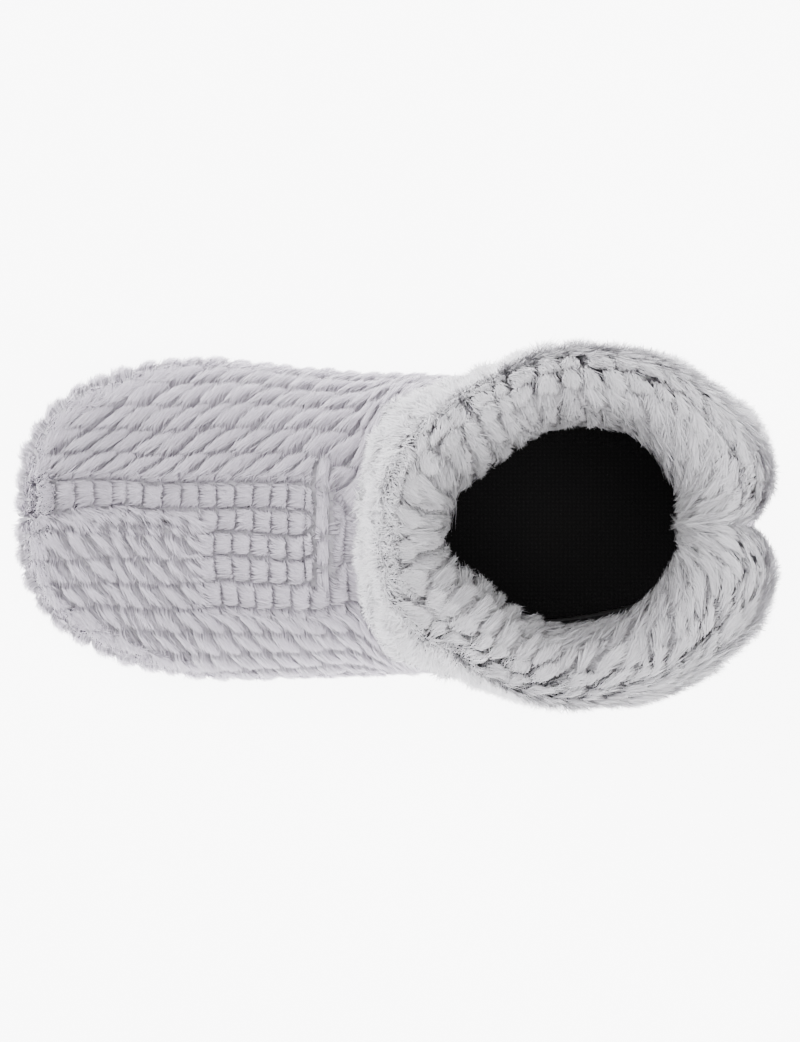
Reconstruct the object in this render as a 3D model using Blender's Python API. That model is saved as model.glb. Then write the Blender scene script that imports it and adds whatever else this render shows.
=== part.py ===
"""Bootie slipper for the left foot, in deep faux fur: outsole, insole, upper, side band and turned-down cuff.

Metres, +Z up, standing on the floor. The toe points along -X and the inner (medial) side of the foot faces +Y.

The foot form is a run of cross sections between toe and heel. Each has a half width on either side and a crown
height, and its outline is a superellipse above the widest line. Upper, band, cuff and sole all read that one form.
"""

import bpy
import numpy as np

# Foot form, over the fabric and without its pile
UPPER_LENGTH = 0.247
BALL_WIDTH = 0.104
WIDEST_HEIGHT = 0.021
TOE_ROUND = 0.028
INSTEP_HEIGHT = 0.066
COLLAR_HEIGHT = 0.106
COLLAR_WIDTH = 0.0825
SIDE_TUCK = 0.007
WALL = 0.003

# Fur of the foot: tufts stand on the fabric in rows that run from toe to heel
PILE = 0.0062
PILE_GROOVE = 0.0034
PILE_UNDER_CUFF = 0.0012
THROAT_SEAM = 0.106
THROAT_SEAM_WIDTH = 0.0065

# Side band, the strip of fur that is sewn round the shoe above the sole
BAND_HEIGHT = 0.024
BAND_BACKING = 0.0015
BAND_PILE = 0.0048

# Cuff, folded down over the top of the shaft and split at the back
CUFF_THICKNESS = 0.0145
CUFF_EASE = 0.0011
CUFF_TOP = 0.012
CUFF_INSIDE = 0.0065
CUFF_INSIDE_DEPTH = 0.016
CUFF_FRONT_DROP = 0.023
CUFF_BACK_DROP = 0.044
CUFF_SPLIT_TOP = 0.0016
CUFF_SPLIT_HEM = 0.016
CUFF_CORNER = 0.020
LOCK_RELIEF = 0.0030
HEM_FADE_START = 0.012
HEM_FADE = 0.008

# Outsole and insole
SOLE_THICKNESS = 0.0065
SOLE_INSET = 0.0025
SOLE_TOP_ROUND = 0.0015
SOLE_RIB = 0.0012
SOLE_TREAD_ROUND = 0.0030
TOE_SPRING = 0.004
SPRING_LENGTH = 0.045
ARCH_RISE = 0.0018
TREAD_DEPTH = 0.0015
TREAD_GROOVE = 0.004
TREAD_PITCH = 0.011
TREAD_CHEVRON = 0.007
INSOLE_THICKNESS = 0.005
INSOLE_INSET = 0.0072
INSOLE_ROUND = 0.0010
INSOLE_RIM = 0.0030
INSOLE_DISH = 0.0080

# Gap that sewn and glued faces keep
SEAM_GAP = 0.0003

# Half widths of the form as shares of BALL_WIDTH, before the ends are rounded
OUTLINE_COLUMNS = ("along", "medial", "lateral")
OUTLINE = (
    (0.00, 0.545, 0.490),
    (0.06, 0.560, 0.525),
    (0.14, 0.550, 0.540),
    (0.24, 0.522, 0.530),
    (0.38, 0.455, 0.492),
    (0.52, 0.425, 0.468),
    (0.66, 0.420, 0.452),
    (0.84, 0.456, 0.460),
    (1.00, 0.400, 0.400),
)

# Crown of the form: 0 is the widest line, 1 the instep, 2 the collar and 3 the height where the sides would close
CROWN_COLUMNS = ("along", "level")
CROWN = (
    (0.000, 0.37),
    (0.112, 0.37),
    (0.180, 0.49),
    (0.270, 0.67),
    (0.350, 0.84),
    (0.424, 1.03),
    (0.468, 1.12),
    (0.500, 1.36),
    (0.524, 1.70),
    (0.542, 2.000),
    (0.585, 2.045),
    (0.617, 2.085),
    (0.648, 2.165),
    (0.680, 2.290),
    (0.712, 2.560),
    (0.770, 3.000),
    (0.826, 2.890),
    (0.858, 2.520),
    (0.889, 2.250),
    (0.920, 2.095),
    (0.945, 2.000),
    (0.970, 1.45),
    (0.988, 0.80),
    (1.000, 0.00),
)

# Cuff round the shaft, from the split on the medial side over the front to the split on the lateral side
CUFF_COLUMNS = ("around", "inside", "thick")
CUFF_ROUND = (
    (0.00, 1.00, 0.95),
    (0.05, 0.85, 1.16),
    (0.12, 0.50, 1.18),
    (0.25, 0.40, 1.08),
    (0.33, 0.60, 0.76),
    (0.42, 0.90, 0.60),
    (0.48, 1.20, 0.66),
    (0.53, 0.90, 0.72),
    (0.60, 0.80, 0.74),
    (0.68, 0.55, 0.90),
    (0.76, 0.40, 1.16),
    (0.88, 0.50, 1.35),
    (0.95, 0.85, 1.25),
    (1.00, 1.00, 0.95),
)

# Fur face of the cuff's hanging leg: place between rim and hem, and distance from the shaft as a share of the whole
LEG_COLUMNS = ("along", "thick")
LEG = (
    (1.02, 0.30),
    (1.10, 0.62),
    (1.04, 0.90),
    (0.86, 1.04),
    (0.66, 1.06),
    (0.46, 1.02),
    (0.26, 0.96),
    (0.08, 0.86),
)

# Fur face over the rim and inside: outward share of the leg or the inside, and share of the rise or the depth
FOLD_COLUMNS = ("outward", "upward")
FOLD = (
    (0.72, 0.45),
    (0.48, 0.80),
    (0.18, 1.00),
    (-0.15, 0.98),
    (-0.55, 0.78),
    (-0.90, 0.35),
    (-1.00, -0.15),
    (-0.94, -0.60),
    (-0.60, -1.00),
)

# Mesh steps
TOE_STATIONS = 12
VAMP_STATIONS = 12
SHAFT_STATIONS = 19
BAND_COLUMNS = 3
PILE_COLUMNS = 18
CUFF_STATIONS = 62
DENSE = 160

# Curves of the form: rounding of both ends, power of a section, the collar's middle and its widest share
END_ROUNDING = 0.57
SECTION_POWER = 2.15
COLLAR_MIDDLE = 0.77
COLLAR_SHARE = 0.97


def column(table, columns, name):
    """One named column of a table, as an array."""
    return np.array([row[columns.index(name)] for row in table])


def smooth(x, xs, ys):
    """A smooth curve through the rows (xs, ys) that doesn't swing past them."""
    steps = np.diff(ys) / np.diff(xs)
    slopes = np.zeros(len(xs))
    slopes[0], slopes[-1] = steps[0], steps[-1]
    rising = steps[:-1] * steps[1:] > 0
    mean = 2 * steps[:-1] * steps[1:] / np.where(rising, steps[:-1] + steps[1:], 1)
    slopes[1:-1] = np.where(rising, mean, 0)
    x = np.clip(x, xs[0], xs[-1])
    k = np.clip(np.searchsorted(xs, x, side="right") - 1, 0, len(xs) - 2)
    width = xs[k + 1] - xs[k]
    t = (x - xs[k]) / width
    rise = ys[k] * (2 * t**3 - 3 * t**2 + 1) + ys[k + 1] * (3 * t**2 - 2 * t**3)
    return rise + width * (slopes[k] * (t**3 - 2 * t**2 + t) + slopes[k + 1] * (t**3 - t**2))


def ease(x):
    """0 below 0, 1 above 1 and an S curve between."""
    x = np.clip(x, 0, 1)
    return x * x * (3 - 2 * x)


def plain_width(t, side):
    """Half width that the outline's table gives at share t of the length."""
    shares = column(OUTLINE, OUTLINE_COLUMNS, "medial" if side > 0 else "lateral")
    body = smooth(t, column(OUTLINE, OUTLINE_COLUMNS, "along"), shares) * BALL_WIDTH
    return body * (2 * np.sqrt(t * (1 - t))) ** END_ROUNDING


def quarters_let_out():
    """How much wider the quarters are made, so that a wide collar still narrows upwards from them."""
    plain = (plain_width(COLLAR_MIDDLE, 1) + plain_width(COLLAR_MIDDLE, -1)) / 2
    return max(1.0, COLLAR_WIDTH / 2 / (plain * COLLAR_SHARE))


def half_width(s, side):
    """Half width of the widest line at s metres from the toe, on side 1 (medial) or -1 (lateral)."""
    t = np.clip(s / UPPER_LENGTH, 0, 1)
    return plain_width(t, side) * (1 + (quarters_let_out() - 1) * ease(t / COLLAR_MIDDLE * 2 - 1))


def closing_height():
    """Height at which the sides of the shaft would meet, so that the collar gets its width."""
    middle = UPPER_LENGTH * COLLAR_MIDDLE
    width = (half_width(middle, 1) + half_width(middle, -1)) / 2
    share = COLLAR_WIDTH / 2 / width
    return WIDEST_HEIGHT + (COLLAR_HEIGHT - WIDEST_HEIGHT) / (1 - share**SECTION_POWER) ** (1 / SECTION_POWER)


def crown(s):
    """Height of the form's top line at s."""
    levels = np.array([0.0, 1.0, 2.0, 3.0])
    heights = np.array([WIDEST_HEIGHT, INSTEP_HEIGHT, COLLAR_HEIGHT, closing_height()])
    along = column(CROWN, CROWN_COLUMNS, "along") * UPPER_LENGTH
    level = smooth(s, along, column(CROWN, CROWN_COLUMNS, "level"))
    over = np.interp(level, levels, heights) - WIDEST_HEIGHT
    toe = np.clip(1 - s / TOE_ROUND, 0, 1)
    return WIDEST_HEIGHT + over * np.sqrt(1 - toe**2)


def side_at(s, z, side):
    """How far the form reaches sideways at height z, above the widest line."""
    rise = np.clip((z - WIDEST_HEIGHT) / np.maximum(crown(s) - WIDEST_HEIGHT, 1e-6), 0, 1)
    return side * half_width(s, side) * (1 - rise**SECTION_POWER) ** (1 / SECTION_POWER)


def profile_crossing(z, behind):
    """Where the form's top line passes height z, ahead of the collar's middle or behind it."""
    middle = UPPER_LENGTH * COLLAR_MIDDLE
    s = np.linspace(middle, UPPER_LENGTH, 4000) if behind else np.linspace(0, middle, 4000)
    h = crown(s)
    return np.interp(z, h[::-1], s[::-1]) if behind else np.interp(z, np.maximum.accumulate(h), s)


def sole_bottom(s):
    """Height of the tread line over the floor: toe spring, and a low arch under the waist."""
    spring = TOE_SPRING * np.clip(1 - s / SPRING_LENGTH, 0, 1) ** 2
    waist = (s / UPPER_LENGTH - 0.56) / 0.11
    return spring + ARCH_RISE * np.exp(-(waist**2))


def sole_top(s):
    """Height of the face on which the upper and the insole sit."""
    return SOLE_THICKNESS + TOE_SPRING * np.clip(1 - s / SPRING_LENGTH, 0, 1) ** 2


def lengths(points):
    """Running length along a line of points."""
    return np.concatenate([[0], np.cumsum(np.linalg.norm(np.diff(points, axis=0), axis=1))])


def along_line(points, where):
    """Points at these running lengths along a line of points."""
    run = lengths(points)
    return np.stack([np.interp(where, run, points[:, k]) for k in range(3)], axis=1)


def widest_line(side):
    """The form's widest line on one side, from toe to heel."""
    s = UPPER_LENGTH * (1 - np.cos(np.linspace(0, np.pi, 10 * DENSE))) / 2
    return np.stack([s, side * half_width(s, side), np.full(len(s), WIDEST_HEIGHT)], axis=1)


def outline_inset(inset, count):
    """The widest line moved inwards in plan, as a closed ring of points from the toe over the medial side."""
    ring = []
    for side in (1, -1):
        line = widest_line(side)
        s = along_line(line, np.linspace(0, lengths(line)[-1], count + 1))
        along = np.gradient(s, axis=0)
        along[[0, -1]] = ((0, side, 0), (0, -side, 0))
        inward = np.stack([along[:, 1], -along[:, 0], np.zeros(count + 1)], axis=1) * side
        inward /= np.linalg.norm(inward, axis=1)[:, None]
        moved = s + inward * inset
        ring.append(moved[:-1] if side > 0 else moved[:0:-1])
    return np.concatenate(ring)


def top_line(side):
    """Ridge of the vamp from the toe's round to the collar, then the collar's edge back to the heel."""
    front, back = profile_crossing(COLLAR_HEIGHT, False), profile_crossing(COLLAR_HEIGHT, True)
    ridge = np.linspace(TOE_ROUND, front, 3 * DENSE)
    ridge = np.stack([ridge, np.zeros(len(ridge)), np.minimum(crown(ridge), COLLAR_HEIGHT)], axis=1)
    edge = front + (back - front) * (1 - np.cos(np.linspace(0, np.pi, 3 * DENSE))) / 2
    high = np.full(len(edge), COLLAR_HEIGHT)
    edge = np.stack([edge, side_at(edge, high, side), high], axis=1)
    edge[[0, -1], 1] = 0
    return ridge, edge


def station_ends(side):
    """Matching points on the widest line and on the top line, one pair for each station of the upper."""
    low = widest_line(side)
    run, s = lengths(low), low[:, 0]
    ridge, edge = top_line(side)
    ridge_run = lengths(ridge)
    low_knots = np.interp(np.array([0, 0.26, 0.53, 1.0]) * UPPER_LENGTH, s, run)
    turn = np.interp(0.25 * UPPER_LENGTH, ridge[:, 0], ridge_run)
    counts = (TOE_STATIONS, VAMP_STATIONS, SHAFT_STATIONS)
    steps = [np.linspace(0, 1, n + 1)[(k > 0) :] for k, n in enumerate(counts)]
    lows = [low_knots[k] + (low_knots[k + 1] - low_knots[k]) * step for k, step in enumerate(steps)]
    tops = [
        along_line(ridge, turn * steps[0]),
        along_line(ridge, turn + (ridge_run[-1] - turn) * steps[1]),
        along_line(edge, lengths(edge)[-1] * steps[2]),
    ]
    return along_line(low, np.concatenate(lows)), np.concatenate(tops)


def station_line(foot, top, inward, upright, behind, side):
    """One line over the form, from the sole up to the ridge or the collar."""
    turn = np.linspace(np.pi / 3, 0, DENSE // 4)
    feather = sole_top(foot[0]) + SEAM_GAP
    tuck = SIDE_TUCK * (1 - np.cos(turn))
    drop = (WIDEST_HEIGHT - feather) * np.sin(turn) / np.sin(turn[0])
    lower = foot + inward * tuck[:, None] - np.array([0, 0, 1]) * drop[:, None]
    turn = np.linspace(0, np.pi / 2, DENSE)
    z = WIDEST_HEIGHT + (top[2] - WIDEST_HEIGHT) * np.sin(turn)
    back = profile_crossing(COLLAR_HEIGHT, True)
    lean = (UPPER_LENGTH - profile_crossing(z, True)) / (UPPER_LENGTH - back)
    ahead = (1 - upright) * (1 - np.cos(turn)) + upright * np.sin(turn)
    s = foot[0] + (top[0] - foot[0]) * ((1 - behind) * ahead + behind * lean)
    upper = np.stack([s, side_at(s, z, side), z], axis=1)
    upper[-1] = top
    if abs(foot[1]) < 1e-6:
        lower[:, 1] = upper[:, 1] = 0
    return lower, upper


def form_grid(side):
    """Stations by columns over one half of the form. The first columns are the side band's, the rest the pile's."""
    feet, tops = station_ends(side)
    along = np.gradient(feet, axis=0)
    along[[0, -1]] = ((0, side, 0), (0, -side, 0))
    inward = np.stack([along[:, 1], -along[:, 0], np.zeros(len(feet))], axis=1) * side
    inward /= np.linalg.norm(inward, axis=1)[:, None]
    first_shaft = TOE_STATIONS + VAMP_STATIONS
    grid = []
    for k, (foot, top) in enumerate(zip(feet, tops)):
        upright = ease((k - TOE_STATIONS) / VAMP_STATIONS * 1.5)
        behind = ease((k - first_shaft) / SHAFT_STATIONS * 1.6)
        line = np.concatenate(station_line(foot, top, inward[k], upright, behind, side))
        line = line[np.concatenate([[True], np.linalg.norm(np.diff(line, axis=0), axis=1) > 1e-7])]
        whole = lengths(line)[-1]
        band = np.linspace(0, BAND_HEIGHT, BAND_COLUMNS + 1)
        pile = np.linspace(BAND_HEIGHT, whole, PILE_COLUMNS + 1)[1:]
        grid.append(along_line(line, np.concatenate([band, pile])))
    return np.array(grid)


def whole_grid():
    """Both halves as one ring of stations: toe, medial side, heel, lateral side."""
    medial, lateral = form_grid(1), form_grid(-1)
    return np.concatenate([medial, lateral[-2:0:-1]])


def ridge_stations():
    """Stations, counted from the toe on either side, whose last column lies on the ridge."""
    return TOE_STATIONS + VAMP_STATIONS


def grid_normals(grid):
    """Outward unit normals of the ring of stations, smooth over the ridge."""
    stations = len(grid)
    across = np.empty_like(grid)
    across[:, 1:-1] = grid[:, 2:] - grid[:, :-2]
    across[:, 0] = grid[:, 1] - grid[:, 0]
    across[:, -1] = grid[:, -1] - grid[:, -2]
    for k in range(1, ridge_stations() + 1):
        for here, there in ((k, stations - k), (stations - k, k)):
            across[here, -1] = grid[there, -2] - grid[here, -2]
    around = np.roll(grid, -1, axis=0) - np.roll(grid, 1, axis=0)
    normal = np.cross(across, around)
    normal[0, -1] = normal[0, -2]
    normal[[0, stations // 2], :, 1] = 0
    length = np.maximum(np.linalg.norm(normal, axis=2), 1e-12)
    normal /= length[:, :, None]
    for k in range(1, ridge_stations() + 1):
        mean = normal[k, -1] + normal[stations - k, -1]
        normal[k, -1] = normal[stations - k, -1] = mean / np.linalg.norm(mean)
    outward = grid - np.array([UPPER_LENGTH * 0.6, 0, WIDEST_HEIGHT])
    return normal * (1 if (normal * outward).sum() > 0 else -1)


def hem_height(s):
    """Height of the cuff's hem on the form at s. Ahead of the cuff it keeps the height of the hem's front."""
    front_z, back_z = COLLAR_HEIGHT - CUFF_FRONT_DROP, COLLAR_HEIGHT - CUFF_BACK_DROP
    front, back = profile_crossing(front_z, False), profile_crossing(back_z, True)
    t = np.clip((s - front) / (back - front), 0, 1)
    return front_z + (back_z - front_z) * t**0.8


def pile_heights(grid):
    """Height of the pile on each point: tufts in rows, shallow grooves between, and pressed flat under the cuff."""
    stations, columns = grid.shape[:2]
    station = np.minimum(np.arange(stations), stations - np.arange(stations))
    row = np.arange(columns) - BAND_COLUMNS
    ridge = (row % 2 == 0)[None, :] & ((station[:, None] + row[None, :] // 2) % 2 == 0)
    slope = (row % 2 == 0)[None, :] & ~ridge
    height = np.where(ridge, PILE, np.where(slope, (PILE + PILE_GROOVE) / 2, PILE_GROOVE))
    near_ridge = row[None, :] > PILE_COLUMNS * 0.6
    seam = np.exp(-(((grid[:, :, 0] - THROAT_SEAM) / THROAT_SEAM_WIDTH) ** 2)) * near_ridge
    height = height + (PILE_GROOVE * 0.5 - height) * seam
    under = ease((grid[:, :, 2] - hem_height(grid[:, :, 0]) + HEM_FADE_START) / HEM_FADE)
    height = height + (PILE_UNDER_CUFF - height) * under
    height[:, : BAND_COLUMNS + 1] = 0
    height[station <= TOE_STATIONS, -1] = (PILE + PILE_GROOVE) / 2
    return height


def upper_mesh(grid, normals):
    """The upper as one hollow wall, open at the collar and underneath. Its fur face carries the rows of tufts."""
    stations, columns = grid.shape[:2]
    outer = grid + normals * pile_heights(grid)[:, :, None]
    inner_columns = [0, BAND_COLUMNS, *range(BAND_COLUMNS + 2, columns - 1, 2), columns - 1]
    inner = (grid - normals * WALL)[:, inner_columns]
    points, faces = [], []

    def number(sheet):
        ids = np.zeros(sheet.shape[:2], int)
        for k in range(stations):
            for j in range(sheet.shape[1]):
                mirrored = stations - k
                on_ridge = j == sheet.shape[1] - 1 and mirrored < stations // 2
                if on_ridge and mirrored <= ridge_stations():
                    ids[k, j] = ids[mirrored, j]
                else:
                    ids[k, j] = len(points)
                    points.append(sheet[k, j])
        return ids

    fur, lining = number(outer), number(inner)
    for k in range(stations):
        after = (k + 1) % stations
        for ids, flip in ((fur, False), (lining, True)):
            for j in range(ids.shape[1] - 1):
                corners = (ids[k, j], ids[after, j], ids[after, j + 1], ids[k, j + 1])
                for face in ([corners[0], corners[1], corners[2]], [corners[0], corners[2], corners[3]]):
                    faces.append(face[::-1] if flip else face)
        faces.append([fur[after, 0], fur[k, 0], lining[k, 0], lining[after, 0]])
        if ridge_stations() <= k < stations - ridge_stations():
            faces.append([fur[k, -1], fur[after, -1], lining[after, -1], lining[k, -1]])
    return np.array(points), faces


def ring_mesh(rings, closed, crossed=()):
    """A tube of rings, each a closed section, joined in order and either closed on itself or capped.

    The places of the section that crossed names are split along the other diagonal.
    """
    rings = np.array(rings)
    count, size = rings.shape[:2]
    faces = []
    for k in range(count if closed else count - 1):
        here, after = k * size, (k + 1) % count * size
        for j in range(size):
            beside = (j + 1) % size
            a, b, c, d = here + j, after + j, after + beside, here + beside
            faces += [[a, b, d], [b, c, d]] if j in crossed else [[a, b, c], [a, c, d]]
    if not closed:
        faces.append(list(range(size)))
        faces.append(list(range((count - 1) * size, count * size))[::-1])
    return rings.reshape(-1, 3), faces


def band_mesh(grid, normals):
    """The side band: a closed ring on the upper's lower wall, with a row of scalloped tufts."""
    rings = []
    columns = np.arange(BAND_COLUMNS + 1)
    face_columns = np.array([0.15, 0.95, 2.05, 2.85])
    swell = np.array([0.55, 1.0, 1.0, 0.5])
    back_columns = np.array([0.0, 1.0, 2.0, 2.93])

    def at(sheet, where):
        return np.stack([np.interp(where, columns, sheet[:, n]) for n in range(3)], axis=1)

    for k in range(len(grid)):
        base, lift = grid[k, : BAND_COLUMNS + 1], normals[k, : BAND_COLUMNS + 1]
        tuft = 1 - 0.45 * (k % 2)
        height = SEAM_GAP + BAND_BACKING + BAND_PILE * swell * tuft
        fur = at(base, face_columns) + at(lift, face_columns) * height[:, None]
        back = at(base, back_columns) + at(lift, back_columns) * SEAM_GAP
        rings.append(np.concatenate([fur, back[::-1]]))
    size = len(face_columns)
    return ring_mesh(rings, True, crossed=range(size, 2 * size - 1))


def form_normal(points, side):
    """Outward unit normals of the form at points above the widest line."""

    def level(s, y, z):
        rise = np.maximum(z - WIDEST_HEIGHT, 0) / np.maximum(crown(s) - WIDEST_HEIGHT, 1e-6)
        return (np.abs(y) / np.maximum(half_width(s, side), 1e-6)) ** SECTION_POWER + rise**SECTION_POWER

    step = SEAM_GAP
    s, y, z = points.T
    normal = np.stack(
        [
            level(s + step, y, z) - level(s - step, y, z),
            np.sign(y) * (level(s, np.abs(y) + step, z) - level(s, np.maximum(np.abs(y) - step, 0), z)),
            level(s, y, z + step) - level(s, y, z - step),
        ],
        axis=1,
    )
    return normal / np.linalg.norm(normal, axis=1)[:, None]


def cuff_loop(share, side, count):
    """Points on one half of the form, from the shaft's front to the split, at a share of the way to the hem."""
    front_z = COLLAR_HEIGHT - CUFF_FRONT_DROP * share
    back_z = COLLAR_HEIGHT - CUFF_BACK_DROP * share
    front, back = profile_crossing(front_z, False), profile_crossing(back_z, True)
    t = (1 - np.cos(np.linspace(0, np.pi, 4 * DENSE))) / 2
    s, z = front + (back - front) * t, front_z + (back_z - front_z) * t**0.8
    line = np.stack([s, side_at(s, z, side), z], axis=1)
    line[[0, -1], 1] = 0
    gap = CUFF_SPLIT_TOP + (CUFF_SPLIT_HEM - CUFF_SPLIT_TOP) * max(share, 0) ** 2.5
    return along_line(line, np.linspace(0, lengths(line)[-1] - gap / 2, count + 1))


def whole_cuff_loop(share):
    """The loop on both halves, from the split on the medial side to the split on the lateral side, with normals."""
    half = CUFF_STATIONS // 2
    medial, lateral = cuff_loop(share, 1, half), cuff_loop(share, -1, half)
    points = np.concatenate([medial[::-1], lateral[1:]])
    normals = np.concatenate([form_normal(medial, 1)[::-1], form_normal(lateral, -1)[1:]])
    middle = normals[half - 1] + normals[half + 1]
    normals[half] = middle / np.linalg.norm(middle)
    return points, normals


def cuff_mesh():
    """The cuff: an open ring whose section hooks over the top of the shaft, with locks raised on its fur face."""
    rim, _ = whole_cuff_loop(0.0)
    along = np.gradient(rim, axis=0)
    out = np.stack([along[:, 1], -along[:, 0], np.zeros(len(rim))], axis=1)
    out /= np.linalg.norm(out, axis=1)[:, None]
    out *= np.sign((out * (rim - rim.mean(0))).sum(1))[:, None]
    up = np.array([0.0, 0.0, 1.0])
    around = np.linspace(0, 1, len(rim))
    run = lengths(rim)
    from_end = np.minimum(run, run[-1] - run)
    corner = np.clip(1 - from_end / CUFF_CORNER, 0, 1)
    rounding = np.sqrt(np.maximum(1 - corner**2, 0.0))
    knots = column(CUFF_ROUND, CUFF_COLUMNS, "around")
    thick = CUFF_THICKNESS * smooth(around, knots, column(CUFF_ROUND, CUFF_COLUMNS, "thick"))
    thick = thick * (0.45 + 0.55 * rounding)
    inside = CUFF_INSIDE * smooth(around, knots, column(CUFF_ROUND, CUFF_COLUMNS, "inside"))
    hem = 0.72 + 0.28 * rounding
    clear = PILE_UNDER_CUFF + SEAM_GAP + CUFF_EASE

    def on_leg(share, offset):
        loops = [whole_cuff_loop(level) for level in np.linspace(0, 1.3, 14)]
        places = np.stack([points for points, _ in loops])
        lifts = np.stack([normals for _, normals in loops])
        where = np.clip(share * hem, 0, 1.3) / 1.3 * 13
        low = np.minimum(where.astype(int), 12)
        part = (where - low)[:, None]
        k = np.arange(len(rim))
        place = places[low, k] * (1 - part) + places[low + 1, k] * part
        lift = lifts[low, k] * (1 - part) + lifts[low + 1, k] * part
        lift /= np.linalg.norm(lift, axis=1)[:, None]
        return place + lift * np.broadcast_to(offset, len(rim))[:, None]

    rows = []
    parity = np.arange(len(rim)) % 4
    for n, (share, part) in enumerate(LEG):
        relief = LOCK_RELIEF * np.where((parity + 2 * (n % 2)) % 4 < 2, 0.5, -0.5)
        tip = 0.05 * np.where(parity < 2, 1, -1) if n < 3 else 0.0
        rows.append(on_leg(share + tip, clear + thick * part + relief * (0 < n)))
    for n, (outward, upward) in enumerate(FOLD):
        relief = LOCK_RELIEF * np.where((parity + 2 * (n % 2)) % 4 < 2, 0.5, -0.5)
        reach = thick if outward > 0 else WALL + clear + inside
        rise = CUFF_TOP if upward > 0 else CUFF_INSIDE_DEPTH
        away = out * (outward * reach + relief * np.sign(outward))[:, None]
        rows.append(rim + away + up * (upward * rise + relief * (upward > 0.3))[:, None])
    for outward, z in (
        (-WALL - clear, -CUFF_INSIDE_DEPTH),
        (-WALL - clear, clear),
        (clear, clear),
    ):
        rows.append(rim + out * outward + up * z)
    for share in (0.15, 0.45, 0.75, 1.0):
        rows.append(on_leg(share, clear))
    return ring_mesh(np.stack(rows, axis=1), False)


def sole_mesh():
    """The outsole's body: a slab with a rounded edge, a rib round its side, toe spring and arch."""
    rings = []
    count = 38
    for inset, part in (
        (SOLE_INSET + SOLE_TOP_ROUND, 1.0),
        (SOLE_INSET, 0.86),
        (SOLE_INSET, 0.66),
        (SOLE_INSET + SOLE_RIB, 0.58),
        (SOLE_INSET + SOLE_RIB, 0.30),
        (SOLE_INSET + SOLE_TREAD_ROUND, 0.0),
    ):
        ring = outline_inset(inset, count)
        low, high = sole_bottom(ring[:, 0]), sole_top(ring[:, 0])
        ring[:, 2] = low + (high - low) * part
        rings.append(ring)
    points, faces = ring_mesh(rings, False)
    return points, close_slab(points, faces, 2 * count, len(rings))


def close_slab(points, faces, size, rings):
    """Replaces the two end caps by strips across the slab, so that they follow its curve."""
    faces = faces[:-2]
    half = size // 2
    for first, flip in ((0, False), ((rings - 1) * size, True)):
        for k in range(half):
            left, right = (first + (size - k) % size, first + (size - k - 1) % size)
            face = [first + k, first + k + 1, right, left]
            face = list(dict.fromkeys(face))
            faces.append(face[::-1] if flip else face)
    return faces


def insole_mesh():
    """The insole: a padded footbed with a raised rim at the heel, lying on the outsole."""
    rings = []
    count = 30
    for inset, part in (
        (INSOLE_INSET + INSOLE_ROUND, 0.0),
        (INSOLE_INSET, 0.30),
        (INSOLE_INSET + INSOLE_ROUND * 0.6, 0.80),
        (INSOLE_INSET + INSOLE_RIM, 1.0),
        (INSOLE_INSET + INSOLE_DISH, 0.86),
    ):
        ring = outline_inset(inset, count)
        ring[:, 2] = sole_top(ring[:, 0]) + SEAM_GAP + INSOLE_THICKNESS * part
        rings.append(ring)
    points, faces = ring_mesh(rings, False)
    return points, close_slab(points, faces, 2 * count, len(rings))


def groove_mesh():
    """Cutters for the tread: shallow chevron grooves across forefoot and heel."""
    points, faces = [], []
    reach = BALL_WIDTH
    for first, last in ((0.10, 0.47), (0.70, 0.94)):
        count = int((last - first) * UPPER_LENGTH / TREAD_PITCH)
        for n in range(count + 1):
            s = first * UPPER_LENGTH + n * TREAD_PITCH
            for y in np.linspace(-1, 1, 5):
                lean = s + TREAD_CHEVRON * (1 - abs(y))
                below, above = sole_bottom(lean) - SOLE_THICKNESS, sole_bottom(lean) + TREAD_DEPTH
                for ds, z in ((0, below), (TREAD_GROOVE, below), (TREAD_GROOVE, above), (0, above)):
                    points.append((lean + ds, y * reach, z))
            start = len(points) - 20
            for k in range(4):
                for j in range(4):
                    a, b = start + 4 * k + j, start + 4 * k + (j + 1) % 4
                    faces.append([a, b, b + 4, a + 4])
            faces.append([start + 3, start + 2, start + 1, start])
            faces.append([start + 16, start + 17, start + 18, start + 19])
    return np.array(points), faces


def material(name, colour, roughness, sheen):
    """A Principled finish in one colour."""
    made = bpy.data.materials.new(name)
    made.use_nodes = True
    shader = made.node_tree.nodes["Principled BSDF"]
    shader.inputs["Base Color"].default_value = (*colour, 1.0)
    shader.inputs["Roughness"].default_value = roughness
    shader.inputs["Sheen Weight"].default_value = sheen
    return made


def solid(name, points, faces, finish):
    """A mesh object with outward faces, at the end of the scene's collection."""
    mesh = bpy.data.meshes.new(name)
    mesh.from_pydata([tuple(p) for p in points], [], [tuple(int(n) for n in face) for face in faces])
    corners = points[[face[0] for face in faces]]
    volume = 0.0
    for face, first in zip(faces, corners):
        for b, c in zip(face[1:-1], face[2:]):
            volume += np.dot(first, np.cross(points[b], points[c]))
    if volume < 0:
        mesh.flip_normals()
    mesh.shade_smooth()
    mesh.set_sharp_from_angle(angle=np.radians(50))
    if finish:
        mesh.materials.append(finish)
    made = bpy.data.objects.new(name, mesh)
    bpy.context.scene.collection.objects.link(made)
    return made


def cut(body, cutter):
    """Takes the cutter out of the body."""
    cutter.hide_render = True
    cutter.display_type = "WIRE"
    modifier = body.modifiers.new("tread", "BOOLEAN")
    modifier.operation = "DIFFERENCE"
    modifier.object = cutter


def stand_over_origin(objects):
    """Moves the shoe so that its box stands centred on the origin."""
    corners = np.concatenate([[v.co for v in made.data.vertices] for made in objects if not made.hide_render])
    middle = (corners.min(0) + corners.max(0)) / 2
    for made in objects:
        made.location = (-middle[0], -middle[1], 0)


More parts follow.
